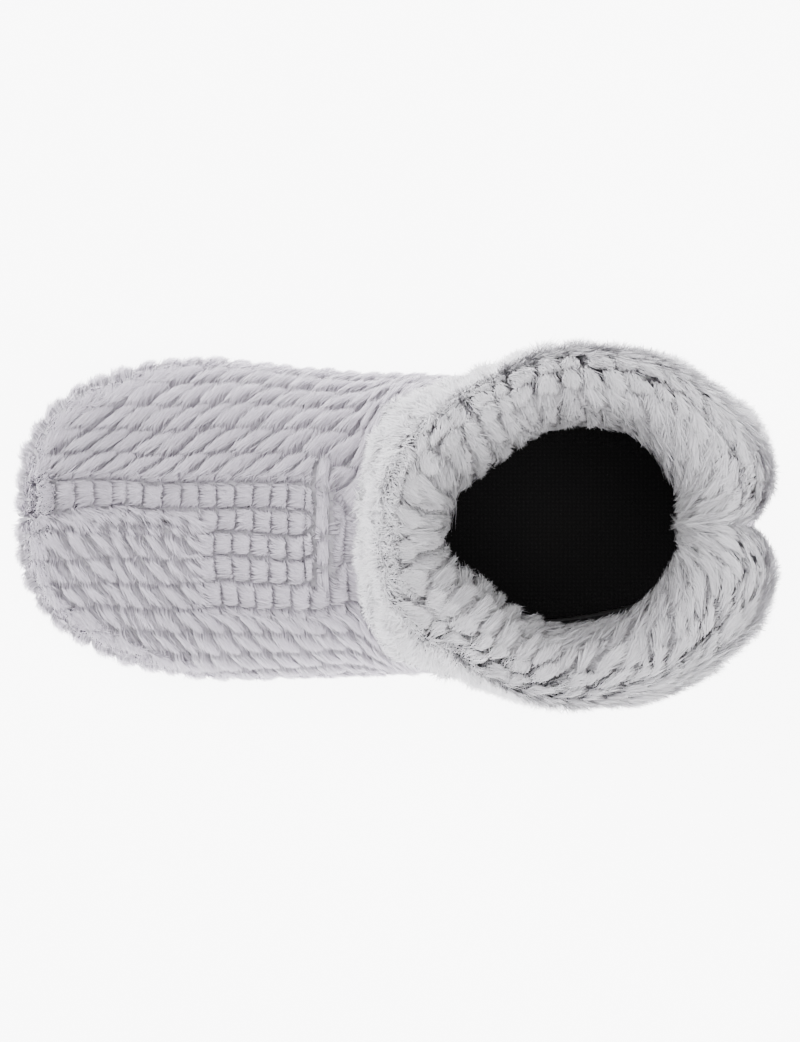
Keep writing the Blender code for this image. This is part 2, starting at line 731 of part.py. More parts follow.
def main():
    for old in list(bpy.data.objects):
        bpy.data.objects.remove(old)
    fur = material("grey_fur", (0.62, 0.61, 0.64), 0.95, 0.4)
    cuff_fur = material("cuff_fur", (0.66, 0.65, 0.67), 0.95, 0.4)
    knit = material("black_knit", (0.012, 0.012, 0.013), 0.95, 0.1)
    rubber = material("black_rubber", (0.02, 0.02, 0.021), 0.7, 0.0)
    grid = whole_grid()
    normals = grid_normals(grid)
    outsole = solid("outsole", *sole_mesh(), rubber)
    grooves = solid("tread_grooves", *groove_mesh(), None)
    cut(outsole, grooves)
    parts = [
        outsole,
        grooves,
        solid("insole", *insole_mesh(), knit),
        solid("upper", *upper_mesh(grid, normals), fur),
        solid("side_band", *band_mesh(grid, normals), fur),
        solid("cuff", *cuff_mesh(), cuff_fur),
    ]
    stand_over_origin(parts)


main()
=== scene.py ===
"""Looks of the left bootie slipper: pale grey faux fur, a black knitted inside and a black rubber sole.

The fur is made of real blades, five points each, that stand on a thin skin. Every blade belongs to a lock, and
the locks stand in rows that run from toe to heel, as on the fabric in the photograph. The blades carry a map
named OFBake, which holds each blade's tone across and the place between root and tip upwards, and the fur
material takes its colour from those two alone. The tone is the blade's own grey with painted shade added at
the edges of the locks, near their roots and in the slits between them. The colour also darkens towards the
root as painted shade.

Everything is in metres. The toe points along -X, +Y is the inner side of the foot and +Z is up.
"""

from __future__ import annotations

import logging
import math
from dataclasses import dataclass, field
from enum import Enum
from typing import Self

import bpy
import numpy as np
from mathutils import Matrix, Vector


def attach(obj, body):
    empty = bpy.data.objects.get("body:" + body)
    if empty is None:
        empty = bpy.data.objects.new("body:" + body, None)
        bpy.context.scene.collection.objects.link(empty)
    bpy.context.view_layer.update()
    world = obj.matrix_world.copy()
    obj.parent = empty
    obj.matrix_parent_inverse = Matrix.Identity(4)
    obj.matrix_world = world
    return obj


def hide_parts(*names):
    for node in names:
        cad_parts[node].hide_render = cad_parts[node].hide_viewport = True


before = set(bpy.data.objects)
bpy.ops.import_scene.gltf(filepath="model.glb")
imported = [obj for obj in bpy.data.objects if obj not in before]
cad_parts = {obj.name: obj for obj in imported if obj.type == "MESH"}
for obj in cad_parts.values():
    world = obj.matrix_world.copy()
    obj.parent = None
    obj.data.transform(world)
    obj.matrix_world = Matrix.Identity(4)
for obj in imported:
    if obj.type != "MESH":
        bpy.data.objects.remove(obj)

LOG = logging.getLogger("bootie_slipper")
UP = np.array([0.0, 0.0, 1.0])
TOE_TO_HEEL = np.array([1.0, 0.0, 0.0])
BAKE_MAP = "OFBake"

Array = np.ndarray
Colour = tuple[float, float, float]
Table = tuple[tuple[float, ...], ...]


class Side(Enum):
    """The two sides of the foot, as the sign of Y."""

    MEDIAL = 1
    LATERAL = -1


def ease(x: Array | float) -> Array:
    """Makes an S curve: 0 below 0, 1 above 1 and a smooth rise between."""
    x = np.clip(x, 0.0, 1.0)
    return x * x * (3.0 - 2.0 * x)


def unit(v: Array) -> Array:
    """Scales the vectors in the last axis to length one."""
    return v / np.maximum(np.linalg.norm(v, axis=-1, keepdims=True), 1e-12)


def running_length(points: Array) -> Array:
    """Measures the running length at each point of a line, from 0."""
    return np.concatenate([[0.0], np.cumsum(np.linalg.norm(np.diff(points, axis=0), axis=1))])


def at_length(points: Array, where: Array) -> Array:
    """Picks points on a line by their running lengths."""
    run = running_length(points)
    return np.stack([np.interp(where, run, points[:, k]) for k in range(3)], axis=1)


def ripple(points: Array, size: float, seed: int) -> Array:
    """Makes a slow, soft variation over space.

    Args:
        points: Positions in metres.
        size: Length of one swell in metres.
        seed: Seed of the directions and phases.

    Returns:
        Values of about -1 to 1.
    """
    rng = np.random.default_rng(seed)
    total = np.zeros(points.shape[:-1])
    for _ in range(7):
        direction = unit(rng.normal(size=3))
        phase = rng.uniform(0.0, math.tau)
        stretch = rng.uniform(0.7, 1.5)
        total += np.sin(points @ direction * math.tau * stretch / size + phase)
    return total / 3.2


def bell(values: Array, middle: float | Array, spread: float) -> Array:
    """Rises to 1 at the middle and falls off softly to both sides."""
    return np.exp(-(((values - middle) / spread) ** 2))


def turned(first: Array, second: Array, angle: Array) -> tuple[Array, Array]:
    """Turns pairs of directions within their plane.

    Args:
        first: First directions.
        second: Second directions, at right angles to the first.
        angle: Angles from the first towards the second, in radians.

    Returns:
        The first and the second directions after the turn.
    """
    cos, sin = np.cos(angle)[:, None], np.sin(angle)[:, None]
    return first * cos + second * sin, second * cos - first * sin


def hashed(*cells: Array, seed: int = 0) -> Array:
    """Gives each cell of a grid its own fixed number.

    Args:
        cells: Whole-numbered cell indices.
        seed: Seed that tells one use from another.

    Returns:
        Numbers between 0 and 1.
    """
    total = np.full(np.shape(cells[0]), 12.9898 * (seed + 1))
    for k, cell in enumerate(cells):
        total = total + np.asarray(cell) * (78.233 + 37.719 * k)
    return np.modf(np.abs(np.sin(total) * 43758.5453))[0]


class Curve:
    """A smooth curve through a short table, which doesn't swing past its rows."""

    def __init__(self, rows: Table, column: int = 1) -> None:
        """Keeps one column of a table and works out a slope for each row.

        Args:
            rows: The table, whose first column holds the places in rising order.
            column: Which column holds the values.
        """
        self.places = np.array([row[0] for row in rows])
        self.values = np.array([row[column] for row in rows])
        steps = np.diff(self.values) / np.diff(self.places)
        slopes = np.zeros(len(self.places))
        slopes[0], slopes[-1] = steps[0], steps[-1]
        rising = steps[:-1] * steps[1:] > 0
        mean = 2 * steps[:-1] * steps[1:] / np.where(rising, steps[:-1] + steps[1:], 1.0)
        slopes[1:-1] = np.where(rising, mean, 0.0)
        self.slopes = slopes

    def __call__(self, x: Array | float) -> Array:
        """Reads the curve.

        Args:
            x: Places.

        Returns:
            The value at each place.
        """
        xs, ys, slopes = self.places, self.values, self.slopes
        x = np.clip(x, xs[0], xs[-1])
        k = np.clip(np.searchsorted(xs, x, side="right") - 1, 0, len(xs) - 2)
        width = xs[k + 1] - xs[k]
        t = (x - xs[k]) / width
        rise = ys[k] * (2 * t**3 - 3 * t**2 + 1) + ys[k + 1] * (3 * t**2 - 2 * t**3)
        return rise + width * (slopes[k] * (t**3 - 2 * t**2 + t) + slopes[k + 1] * (t**3 - t**2))


@dataclass(frozen=True)
class Last:
    """The foot form under the fur, in the same sizes as the solids.

    Places along the foot are metres from the toe of the form. The frame's origin is origin_x behind it.
    """

    length: float = 0.247
    ball_width: float = 0.104
    widest_height: float = 0.021
    toe_round: float = 0.028
    instep_height: float = 0.066
    collar_height: float = 0.106
    collar_width: float = 0.0825
    side_tuck: float = 0.007
    feather_height: float = 0.0068
    end_rounding: float = 0.57
    section_power: float = 2.15
    collar_middle: float = 0.77
    origin_x: float = 0.125853
    origin_y: float = -0.001307
    # place along the form, and half widths of the medial and the lateral side as shares of the ball width
    outline: Table = (
        (0.00, 0.545, 0.490),
        (0.06, 0.560, 0.525),
        (0.14, 0.550, 0.540),
        (0.24, 0.522, 0.530),
        (0.38, 0.455, 0.492),
        (0.52, 0.425, 0.468),
        (0.66, 0.420, 0.452),
        (0.84, 0.456, 0.460),
        (1.00, 0.400, 0.400),
    )
    # place along the form, and level of its top: 1 is the instep, 2 the collar, 3 where the sides would meet
    levels: Table = (
        *((0.000, 0.37), (0.112, 0.37), (0.180, 0.49), (0.270, 0.67), (0.350, 0.84), (0.424, 1.03)),
        *((0.468, 1.12), (0.500, 1.36), (0.524, 1.70), (0.542, 2.000), (0.585, 2.045), (0.617, 2.085)),
        *((0.648, 2.165), (0.680, 2.290), (0.712, 2.560), (0.770, 3.000), (0.826, 2.890), (0.858, 2.520)),
        *((0.889, 2.250), (0.920, 2.095), (0.945, 2.000), (0.970, 1.45), (0.988, 0.80), (1.000, 0.00)),
    )

    def half_width(self, s: Array, side: int) -> Array:
        """Reads the half width at the widest line.

        Args:
            s: Places along the foot.
            side: 1 for the medial side, -1 for the lateral.

        Returns:
            Half widths in metres.
        """
        t = np.clip(s / self.length, 0, 1)
        body = Curve(self.outline, 1 if side > 0 else 2)(t) * self.ball_width
        return body * (2 * np.sqrt(t * (1 - t))) ** self.end_rounding

    def closing_height(self) -> float:
        """Works out where the sides of the shaft would meet.

        Returns:
            The height in metres.
        """
        middle = self.length * self.collar_middle
        width = (self.half_width(middle, 1) + self.half_width(middle, -1)) / 2
        share = self.collar_width / 2 / float(width)
        rise = (1 - share**self.section_power) ** (1 / self.section_power)
        return self.widest_height + (self.collar_height - self.widest_height) / rise

    def crown(self, s: Array) -> Array:
        """Reads the height of the form's top line.

        Args:
            s: Places along the foot.

        Returns:
            Heights in metres.
        """
        level = Curve(self.levels)(s / self.length)
        knots = (self.widest_height, self.instep_height, self.collar_height, self.closing_height())
        over = np.interp(level, (0.0, 1.0, 2.0, 3.0), knots) - self.widest_height
        toe = np.clip(1 - s / self.toe_round, 0, 1)
        return self.widest_height + over * np.sqrt(1 - toe**2)

    def side_at(self, s: Array, z: Array, side: int) -> Array:
        """Reads how far the form reaches sideways.

        Args:
            s: Places along the foot.
            z: Heights above the widest line.
            side: 1 or -1.

        Returns:
            Signed Y in metres.
        """
        rise = np.clip((z - self.widest_height) / np.maximum(self.crown(s) - self.widest_height, 1e-6), 0, 1)
        return side * self.half_width(s, side) * (1 - rise**self.section_power) ** (1 / self.section_power)

    def crossing(self, z: Array | float, behind: bool) -> Array:
        """Finds where the top line passes a height.

        Args:
            z: Heights.
            behind: True for the heel side, False for the instep side.

        Returns:
            Places along the foot.
        """
        middle = self.length * self.collar_middle
        if behind:
            s = np.linspace(middle, self.length, 4000)
            return np.interp(z, self.crown(s)[::-1], s[::-1])
        s = np.linspace(0, middle, 4000)
        return np.interp(z, np.maximum.accumulate(self.crown(s)), s)

    def widest_line(self, side: int) -> Array:
        """Lists the points of one side's widest line, from toe to heel."""
        s = self.length * (1 - np.cos(np.linspace(0, np.pi, 1600))) / 2
        return np.stack([s, side * self.half_width(s, side), np.full(len(s), self.widest_height)], axis=1)

    def half_grid(self, side: int, counts: tuple[int, int, int], columns: int) -> Array:
        """Covers one half of the form with stations.

        Args:
            side: 1 or -1.
            counts: Stations at the toe, on the vamp and on the shaft.
            columns: Steps from the feather line up to the ridge or collar.

        Returns:
            Points as stations by columns.
        """
        low = self.widest_line(side)
        run, s = running_length(low), low[:, 0]
        front, back = self.crossing(self.collar_height, False), self.crossing(self.collar_height, True)
        many = 480
        ridge = np.linspace(self.toe_round, front, many)
        ridge = np.stack([ridge, np.zeros(many), np.minimum(self.crown(ridge), self.collar_height)], axis=1)
        edge = front + (back - front) * (1 - np.cos(np.linspace(0, np.pi, many))) / 2
        high = np.full(many, self.collar_height)
        edge = np.stack([edge, self.side_at(edge, high, side), high], axis=1)
        edge[[0, -1], 1] = 0
        ridge_run = running_length(ridge)
        knots = np.interp(np.array([0, 0.26, 0.53, 1.0]) * self.length, s, run)
        turn = np.interp(0.25 * self.length, ridge[:, 0], ridge_run)
        steps = [np.linspace(0, 1, n + 1)[(k > 0) :] for k, n in enumerate(counts)]
        spread = [knots[k] + (knots[k + 1] - knots[k]) * p for k, p in enumerate(steps)]
        feet = at_length(low, np.concatenate(spread))
        tops = np.concatenate(
            [
                at_length(ridge, turn * steps[0]),
                at_length(ridge, turn + (ridge_run[-1] - turn) * steps[1]),
                at_length(edge, running_length(edge)[-1] * steps[2]),
            ]
        )
        along = np.gradient(feet, axis=0)
        along[[0, -1]] = ((0, side, 0), (0, -side, 0))
        inward = unit(np.stack([along[:, 1], -along[:, 0], np.zeros(len(feet))], axis=1) * side)
        grid = []
        for k, (foot, top) in enumerate(zip(feet, tops)):
            upright = ease((k - counts[0]) / counts[1] * 1.5)
            behind = ease((k - counts[0] - counts[1]) / counts[2] * 1.6)
            line = self.station_line(foot, top, inward[k], float(upright), float(behind), side)
            keep = np.concatenate([[True], np.linalg.norm(np.diff(line, axis=0), axis=1) > 1e-7])
            line = line[keep]
            grid.append(at_length(line, np.linspace(0, running_length(line)[-1], columns + 1)))
        return np.array(grid)

    def station_line(
        self, foot: Array, top: Array, inward: Array, upright: float, behind: float, side: int
    ) -> Array:
        """Draws one line over the form.

        Args:
            foot: Its point on the widest line.
            top: Its point on the ridge or the collar.
            inward: Direction towards the middle in plan.
            upright: 1 where the line rises evenly, 0 where it arches.
            behind: 1 where it follows the lean of the heel.
            side: 1 or -1.

        Returns:
            Points from the feather line to the top.
        """
        turn = np.linspace(np.pi / 3, 0, 40)
        tuck = self.side_tuck * (1 - np.cos(turn))
        drop = (self.widest_height - self.feather_height) * np.sin(turn) / np.sin(turn[0])
        lower = foot + inward * tuck[:, None] - UP * drop[:, None]
        turn = np.linspace(0, np.pi / 2, 160)
        z = self.widest_height + (top[2] - self.widest_height) * np.sin(turn)
        back = self.crossing(self.collar_height, True)
        lean = (self.length - self.crossing(z, True)) / (self.length - back)
        ahead = (1 - upright) * (1 - np.cos(turn)) + upright * np.sin(turn)
        s = foot[0] + (top[0] - foot[0]) * ((1 - behind) * ahead + behind * lean)
        upper = np.stack([s, self.side_at(s, z, side), z], axis=1)
        upper[-1] = top
        if abs(foot[1]) < 1e-6:
            lower[:, 1] = upper[:, 1] = 0
        return np.concatenate([lower, upper])

    def to_frame(self, points: Array) -> Array:
        """Moves points from the toe's place to the frame's."""
        return points - np.array([self.origin_x, self.origin_y, 0.0])


@dataclass
class Sheet:
    """A grid of points with normals that can be read at any place between them."""

    points: Array
    normals: Array

    @classmethod
    def from_ring(cls, halves: dict[int, Array], ridge_count: int) -> dict[int, "Sheet"]:
        """Joins two halves for their normals, smooth over the ridge.

        Args:
            halves: Points of the medial and lateral half, as stations by columns.
            ridge_count: Number of stations that end on the ridge.

        Returns:
            A sheet for each half.
        """
        ring = np.concatenate([halves[1], halves[-1][-2:0:-1]])
        count = len(ring)
        across = np.empty_like(ring)
        across[:, 1:-1] = ring[:, 2:] - ring[:, :-2]
        across[:, 0] = ring[:, 1] - ring[:, 0]
        across[:, -1] = ring[:, -1] - ring[:, -2]
        for k in range(1, ridge_count + 1):
            for here, there in ((k, count - k), (count - k, k)):
                across[here, -1] = ring[there, -2] - ring[here, -2]
        around = np.roll(ring, -1, axis=0) - np.roll(ring, 1, axis=0)
        normal = np.cross(across, around)
        normal[0, -1] = normal[0, -2]
        normal[[0, count // 2], :, 1] = 0
        normal = unit(normal)
        for k in range(1, ridge_count + 1):
            mean = unit(normal[k, -1] + normal[count - k, -1])
            normal[k, -1] = normal[count - k, -1] = mean
        outward = ring - ring.reshape(-1, 3).mean(0)
        normal *= 1 if (normal * outward).sum() > 0 else -1
        half = count // 2
        back = np.concatenate([[0], np.arange(count - 1, half - 1, -1)])
        return {1: cls(ring[: half + 1], normal[: half + 1]), -1: cls(ring[back], normal[back])}

    def sample(self, u: Array, v: Array) -> tuple[Array, Array]:
        """Reads the sheet between its points.

        Args:
            u: Places along the stations, in steps of one station.
            v: Places along the columns, in steps of one column.

        Returns:
            Points and unit normals.
        """
        rows, columns = self.points.shape[:2]
        u = np.clip(u, 0, rows - 1 - 1e-9)
        v = np.clip(v, 0, columns - 1 - 1e-9)
        i, j = u.astype(int), v.astype(int)
        a, b = (u - i)[:, None], (v - j)[:, None]

        def blend(grid: Array) -> Array:
            """Reads one grid between its four nearest points."""
            near = grid[i, j] * (1 - b) + grid[i, j + 1] * b
            far = grid[i + 1, j] * (1 - b) + grid[i + 1, j + 1] * b
            return near * (1 - a) + far * a

        return blend(self.points), unit(blend(self.normals))

    def scatter(self, per_mm2: float, rng: np.random.Generator) -> tuple[Array, Array]:
        """Scatters places evenly over the sheet.

        Args:
            per_mm2: Number of places on a square millimetre.
            rng: Source of the random numbers.

        Returns:
            Places u and v.
        """
        p = self.points
        first = np.cross(p[1:, :-1] - p[:-1, :-1], p[:-1, 1:] - p[:-1, :-1])
        second = np.cross(p[1:, :-1] - p[1:, 1:], p[:-1, 1:] - p[1:, 1:])
        area = (np.linalg.norm(first, axis=2) + np.linalg.norm(second, axis=2)) / 2
        count = int(area.sum() * 1e6 * per_mm2)
        cells = rng.choice(area.size, size=count, p=(area / area.sum()).ravel())
        i, j = np.unravel_index(cells, area.shape)
        return i + rng.random(count), j + rng.random(count)


class Recipe:
    """Builds one node material around its Principled shader."""

    def __init__(self, name: str, values: dict[str, float]) -> None:
        """Starts the material.

        Args:
            name: Name of the material.
            values: Plain values of the shader's inputs.
        """
        self.made = bpy.data.materials.new(name)
        self.made.use_nodes = True
        self.shader = self.made.node_tree.nodes["Principled BSDF"]
        for key, value in values.items():
            self.shader.inputs[key].default_value = value

    def add(self, kind: str, values: dict[str, float] | None = None, **settings: str) -> bpy.types.Node:
        """Adds a node.

        Args:
            kind: Its type, without the leading ShaderNode.
            values: Plain values of its inputs.
            settings: Its other settings.

        Returns:
            The node.
        """
        node = self.made.node_tree.nodes.new("ShaderNode" + kind)
        for key, value in settings.items():
            setattr(node, key, value)
        for key, value in (values or {}).items():
            node.inputs[key].default_value = value
        return node

    def link(self, source: bpy.types.NodeSocket, target: bpy.types.NodeSocket) -> None:
        """Joins two sockets."""
        self.made.node_tree.links.new(source, target)

    def pattern(self, kind: str, values: dict[str, float], **settings: str) -> bpy.types.Node:
        """Adds a texture that is laid out in the piece's own space, and takes add's arguments."""
        node = self.add(kind, values, **settings)
        self.link(self.add("TexCoord").outputs["Object"], node.inputs["Vector"])
        return node

    def ramp(
        self, factor: bpy.types.NodeSocket, stops: tuple[tuple[float, Colour], ...]
    ) -> bpy.types.NodeSocket:
        """Turns a value into a colour.

        Args:
            factor: The value.
            stops: Places, from 0 to 1, and colours.

        Returns:
            The colour.
        """
        node = self.add("ValToRGB")
        self.link(factor, node.inputs["Fac"])
        steps = node.color_ramp.elements
        for place, _ in stops[2:]:
            steps.new(place)
        for step, (place, colour) in zip(steps, stops):
            step.position, step.color = place, (*colour, 1.0)
        return node.outputs["Color"]

    def colour(self, source: bpy.types.NodeSocket) -> None:
        """Colours the shader."""
        self.link(source, self.shader.inputs["Base Color"])

    def bump(self, height: bpy.types.NodeSocket, strength: float, distance: float) -> None:
        """Raises the surface by a value.

        Args:
            height: The value.
            strength: Strength of the bump.
            distance: Its height in metres.
        """
        node = self.add("Bump", {"Strength": strength, "Distance": distance})
        self.link(height, node.inputs["Height"])
        self.link(node.outputs["Normal"], self.shader.inputs["Normal"])


@dataclass(frozen=True)
class FurFinish:
    """Colours of one fur, from the shadow at its root to its tip, in linear light."""

    name: str
    root: Colour
    middle: Colour
    tip: Colour
    middle_place: float = 0.42
    darkest: float = 0.42
    palest: float = 1.12
    roughness: float = 0.72
    sheen: float = 0.25
    sheen_roughness: float = 0.5
    specular: float = 0.25

    def material(self) -> bpy.types.Material:
        """Makes the fur's material, whose colour follows the blade's own map.

        Returns:
            The material.
        """
        recipe = Recipe(
            self.name,
            {
                "Roughness": self.roughness,
                "Sheen Weight": self.sheen,
                "Sheen Roughness": self.sheen_roughness,
                "Specular IOR Level": self.specular,
            },
        )
        parts = recipe.add("SeparateXYZ")
        recipe.link(recipe.add("UVMap", uv_map=BAKE_MAP).outputs["UV"], parts.inputs[0])
        stops = ((0.0, self.root), (self.middle_place, self.middle), (1.0, self.tip))
        tone = recipe.add("MapRange", {"To Min": self.darkest, "To Max": self.palest})
        recipe.link(parts.outputs["X"], tone.inputs["Value"])
        shade = recipe.add("VectorMath", operation="SCALE")
        recipe.link(recipe.ramp(parts.outputs["Y"], stops), shade.inputs[0])
        recipe.link(tone.outputs["Result"], shade.inputs["Scale"])
        recipe.colour(shade.outputs["Vector"])
        return recipe.made


@dataclass(frozen=True)
class BackingFinish:
    """The knitted ground of the fur fabric, between the roots."""

    name: str
    dark: Colour
    light: Colour
    grain: float = 900.0
    roughness: float = 0.95
    sheen: float = 0.15
    bump: float = 0.25
    bump_height: float = 0.0006

    def material(self) -> bpy.types.Material:
        """Makes the ground's material from fine noise.

        Returns:
            The material.
        """
        recipe = Recipe(self.name, {"Roughness": self.roughness, "Sheen Weight": self.sheen})
        noise = recipe.pattern("TexNoise", {"Scale": self.grain, "Detail": 3.0}).outputs["Fac"]
        recipe.colour(recipe.ramp(noise, ((0.3, self.dark), (0.75, self.light))))
        recipe.bump(noise, self.bump, self.bump_height)
        return recipe.made


@dataclass(frozen=True)
class KnitFinish:
    """Black brushed knit of the lining and the footbed."""

    name: str
    dark: Colour = (0.0075, 0.0072, 0.0074)
    light: Colour = (0.0118, 0.0112, 0.0115)
    wale: float = 210.0
    roughness: float = 0.95
    sheen: float = 0.06
    sheen_roughness: float = 0.6
    specular: float = 0.12
    bump: float = 0.5
    bump_height: float = 0.0003

    def material(self) -> bpy.types.Material:
        """Makes the knit from fine wales and courses with a fibrous haze.

        Returns:
            The material.
        """
        recipe = Recipe(
            self.name,
            {
                "Roughness": self.roughness,
                "Sheen Weight": self.sheen,
                "Sheen Roughness": self.sheen_roughness,
                "Specular IOR Level": self.specular,
            },
        )
        thread = {"Scale": self.wale, "Distortion": 1.2, "Detail": 2.0, "Detail Scale": 6.0}
        knit = recipe.add("Math", operation="MULTIPLY")
        for place, direction in enumerate(("X", "Y")):
            wave = recipe.pattern("TexWave", thread, bands_direction=direction)
            recipe.link(wave.outputs["Fac"], knit.inputs[place])
        recipe.colour(recipe.ramp(knit.outputs[0], ((0.0, self.dark), (1.0, self.light))))
        recipe.bump(knit.outputs[0], self.bump, self.bump_height)
        return recipe.made


@dataclass(frozen=True)
class RubberFinish:
    """Matt black rubber of the outsole, with a fine moulded grain."""

    name: str
    dark: Colour = (0.016, 0.016, 0.017)
    light: Colour = (0.034, 0.034, 0.035)
    smoothest: float = 0.5
    roughest: float = 0.72
    patches: float = 26.0
    grain: float = 700.0
    bump: float = 0.3
    bump_height: float = 0.0003

    def material(self) -> bpy.types.Material:
        """Makes the rubber, dustier in patches and grained all over.

        Returns:
            The material.
        """
        recipe = Recipe(self.name, {})
        patches = recipe.pattern("TexNoise", {"Scale": self.patches, "Detail": 4.0}).outputs["Fac"]
        recipe.colour(recipe.ramp(patches, ((0.35, self.dark), (0.7, self.light))))
        rough = recipe.add("MapRange", {"To Min": self.smoothest, "To Max": self.roughest})
        recipe.link(patches, rough.inputs["Value"])
        recipe.link(rough.outputs["Result"], recipe.shader.inputs["Roughness"])
        grain = recipe.pattern("TexVoronoi", {"Scale": self.grain})
        recipe.bump(grain.outputs["Distance"], self.bump, self.bump_height)
        return recipe.made


class Rows:
    """Arrays of one length, kept together."""

    def only(self, use: Array) -> Self:
        """Picks the marked rows of every array."""
        return type(self)(**{name: value[use] for name, value in vars(self).items()})


@dataclass
class Blades(Rows):
    """Fur as blades of five points: a wide root, a bend and a fine tip."""

    roots: Array
    bends: Array
    tips: Array
    normals: Array
    shades: Array
    tones: Array
    widths: Array
    twists: Array

    def piece(self, name: str, material: bpy.types.Material) -> bpy.types.Object:
        """Makes one mesh of the blades, shaded with the round of their tufts.

        Args:
            name: Name of the piece.
            material: The fur's material.

        Returns:
            The object, linked to the scene.
        """
        count = len(self.roots)
        lean = unit(self.tips - self.roots)
        flat = unit(np.cross(lean, self.normals))
        raised = np.cross(lean, flat)
        turn = self.twists[:, None]
        half = (flat * np.cos(turn) + raised * np.sin(turn)) * self.widths[:, None] / 2
        waist = half * 0.9
        points = (self.roots - half, self.roots + half, self.bends + waist, self.bends - waist, self.tips)
        points = np.stack(points, axis=1)
        # a four-sided face from root to bend and a three-sided one from bend to tip
        first = np.arange(count) * 5
        corners = (first[:, None] + np.array([0, 1, 2, 3, 3, 2, 4])).ravel()
        starts = (np.arange(count) * 7)[:, None] + np.array([0, 4])
        mesh = bpy.data.meshes.new(name)
        mesh.vertices.add(count * 5)
        mesh.vertices.foreach_set("co", points.ravel())
        mesh.loops.add(count * 7)
        mesh.loops.foreach_set("vertex_index", corners.astype(np.int32))
        mesh.polygons.add(count * 2)
        mesh.polygons.foreach_set("loop_start", starts.ravel().astype(np.int32))
        mesh.polygons.foreach_set("loop_total", np.tile(np.array([4, 3], np.int32), count))
        mesh.update(calc_edges=True)
        tone = np.clip(self.tones, 0.02, 0.98)[:, None]
        across = tone + np.array([-0.012, 0.012, 0.010, -0.010, -0.010, 0.010, 0.0])
        upward = np.tile(np.array([0.015, 0.015, 0.45, 0.45, 0.45, 0.45, 0.985]), (count, 1))
        layer = mesh.uv_layers.new(name=BAKE_MAP)
        layer.data.foreach_set("uv", np.stack([across, upward], axis=2).ravel())
        mesh.polygons.foreach_set("use_smooth", np.ones(count * 2, bool))
        mesh.materials.append(material)
        mesh.normals_split_custom_set_from_vertices(np.repeat(self.shades, 5, axis=0).tolist())
        made = bpy.data.objects.new(name, mesh)
        bpy.context.scene.collection.objects.link(made)
        return made


@dataclass
class Spots(Rows):
    """Roots of blades, each with its place in the tuft that it belongs to."""

    roots: Array
    normals: Array
    ahead: Array
    beside: Array
    p: Array
    q: Array
    span: Array
    width: Array
    tuft: Array
    tone: Array
    fuzz: Array
    stand: Array


